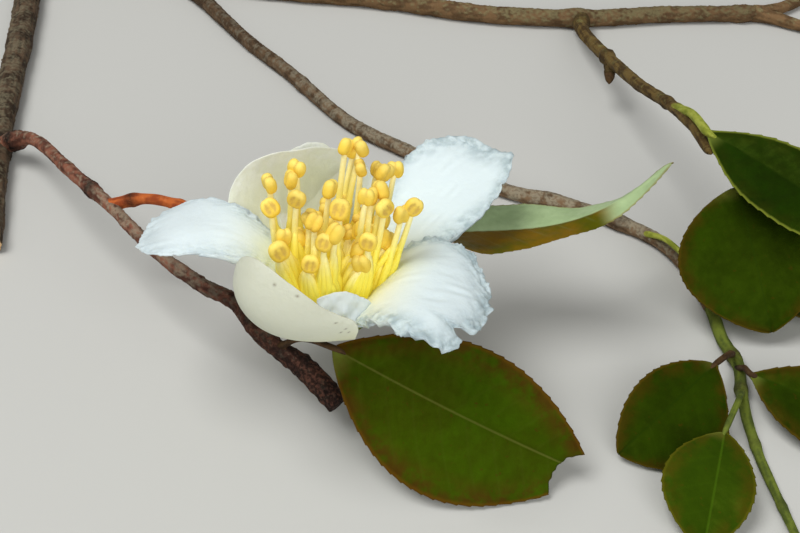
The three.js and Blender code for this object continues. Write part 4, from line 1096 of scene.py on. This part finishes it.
STAMEN_COLOURS = {  # low, middle, high, tan; roughness, glow
    "filament": ("#ecd62a", "#efe05a", "#f3eab0", "#c79a3a", 0.5, 0.13),
    "anther": ("#e8c23e", "#f0cf4c", "#f7e072", "#c29c4e", 0.6, 0.08),
}
FINISHES = {name: make(name, *look)
            for make, looks in ((bark, BARKS), (leaf, LEAF_COLOURS), (petal, PETAL_COLOURS),
                                (stamen_finish, STAMEN_COLOURS))
            for name, look in looks.items()}

# The pieces


def make_wooden_piece(name, surface, skin, nodes=()):
    """A piece of a limb, a bud or a stalk, made with its skin as its finish."""
    make_piece(name, [surface], skin, nodes)


for number, (name, spec) in enumerate(LIMBS.items()):
    wood = limb_surface(spec, SEEDS["limb"] + 10 * number)
    make_wooden_piece(name + "_bark", wood, spec["skin"], [name])
    if "bud" in spec:
        bud = bud_surface(spec, SEEDS["bud"] + number)
        make_wooden_piece(name + "_bud", bud, spec.get("bud_skin", "green_skin"))

for number, (name, spec) in enumerate(LEAVES.items()):
    blade = leaf_surface(spec, SEEDS["leaf"] + 20 * number)
    make_piece(name + "_blade", [blade], spec["finish"], [name])
    make_wooden_piece(name + "_stalk", stalk_surface(spec, SEEDS["stalk"] + number), spec["stalk_skin"])

for number, (name, spec) in enumerate(PETALS.items()):
    face = petal_surface(spec, SEEDS["petal"] + 20 * number, spec.get("mesh", PETAL_MESH))
    make_piece(name + "_face", [face], spec["finish"], [name])
make_piece("petal_front_right_fold", [flap_surface(SEEDS["fold"])], "white_petal")

spare = np.random.default_rng(SEEDS["spares"])
stamens = list(ANTHERS)
for k in range(SPARES["count"]):
    turn = SPARES["turn"] * k
    out = between(SPARES["out"], (k / SPARES["count"]) ** SPARES["crowd"])
    stamens.append((out * math.cos(turn), abs(out * math.sin(turn)), spare.uniform(*SPARES["height"]), 0))
threads = [filament_surface(place, SEEDS["thread"] + k) for k, place in enumerate(stamens)]
partners = [filament_surface(place, SEEDS["thread"] + k, aside, inward,
                             min(LONGEST_PARTNER, height / place[2]), PARTNER_MESH)
            for k, place in enumerate(stamens) for aside, inward, height in PARTNERS]
tube = turned_surface(STAMEN_TUBE)
make_piece("filaments", [tube] + [thread for thread, _, _ in threads + partners], "filament",
           ["stamens"])
anthers = [anther_surface(tip + upward * ANTHER["seat"], upward, stamens[k][3], SEEDS["anther"] + k)
           for k, (_, tip, upward) in enumerate(threads)]
make_piece("anthers", anthers, "anther")
sepals = [petal_surface(dict(SEPAL, turn=SEPAL_TURN + 360 / SEPAL_COUNT * k), SEEDS["sepal"] + k, SEPAL_MESH,
                        SEPAL_THICK)
          for k in range(SEPAL_COUNT)]
make_piece("calyx_cup", [turned_surface(CALYX_CUP)] + sepals, "green_skin", ["calyx"])

# Floor, light and camera

PHOTO_WIDTH = 800  # pixels
FOCAL_PIXELS = 1329.0
SENSOR = 36.0  # millimetres
CAMERA_PLACE = np.array([0.0, -114.9, 116.9])  # in the drawing
CAMERA_DOWN = 40  # degrees below level
CLOSEST_SEEN = 0.01  # metres
FLOOR_HALF = 4  # metres
FLOOR_ROUGHNESS = 0.8
SKY_STRENGTH = 0.22
LAMPS = {  # place in metres, size, power
    "key": ((-0.32, -0.12, 0.78), 0.5, 4.9),
    "fill": ((0.2, -0.7, 0.46), 0.7, 4.0),
}
AIM = np.array([0, 0, 0.01])  # what the lamps point at

floor_mesh = bpy.data.meshes.new("floor")
corners = [(FLOOR_HALF * x, FLOOR_HALF * y, 0) for x, y in ((-1, -1), (1, -1), (1, 1), (-1, 1))]
floor_mesh.from_pydata(corners, [], [(0, 1, 2, 3)])
floor = bpy.data.objects.new("floor", floor_mesh)
bpy.context.scene.collection.objects.link(floor)
floor_finish = bpy.data.materials.new("pale_floor")
floor_finish.use_nodes = True
floor_shader = floor_finish.node_tree.nodes["Principled BSDF"].inputs
floor_shader["Base Color"].default_value = paint("#c2c2bd")
floor_shader["Roughness"].default_value = FLOOR_ROUGHNESS
floor_mesh.materials.append(floor_finish)

for name, (place, size, power) in LAMPS.items():
    lamp = bpy.data.lights.new(name, "AREA")
    lamp.shape = "DISK"
    lamp.size = size
    lamp.energy = power
    holder = bpy.data.objects.new(name, lamp)
    x, y, z = unit(AIM - np.array(place))
    holder.location = place
    holder.rotation_euler = (math.acos(-z), 0, math.atan2(y, x) - math.pi / 2)
    bpy.context.scene.collection.objects.link(holder)

sky = bpy.data.worlds.new("soft_sky")
sky.use_nodes = True
sky_shader = sky.node_tree.nodes["Background"].inputs
sky_shader["Color"].default_value = (1, 1, 1, 1)
sky_shader["Strength"].default_value = SKY_STRENGTH
bpy.context.scene.world = sky
bpy.context.scene.view_settings.view_transform = "Standard"

lens = bpy.data.cameras.new("camera")
lens.sensor_fit = "HORIZONTAL"
lens.sensor_width = SENSOR
lens.lens = FOCAL_PIXELS / PHOTO_WIDTH * SENSOR
lens.clip_start = CLOSEST_SEEN
camera = bpy.data.objects.new("camera", lens)
camera.location = (CAMERA_PLACE - MIDDLE) * METRES
camera.rotation_euler = (math.radians(90 - CAMERA_DOWN), 0, 0)
bpy.context.scene.collection.objects.link(camera)
bpy.context.scene.camera = camera
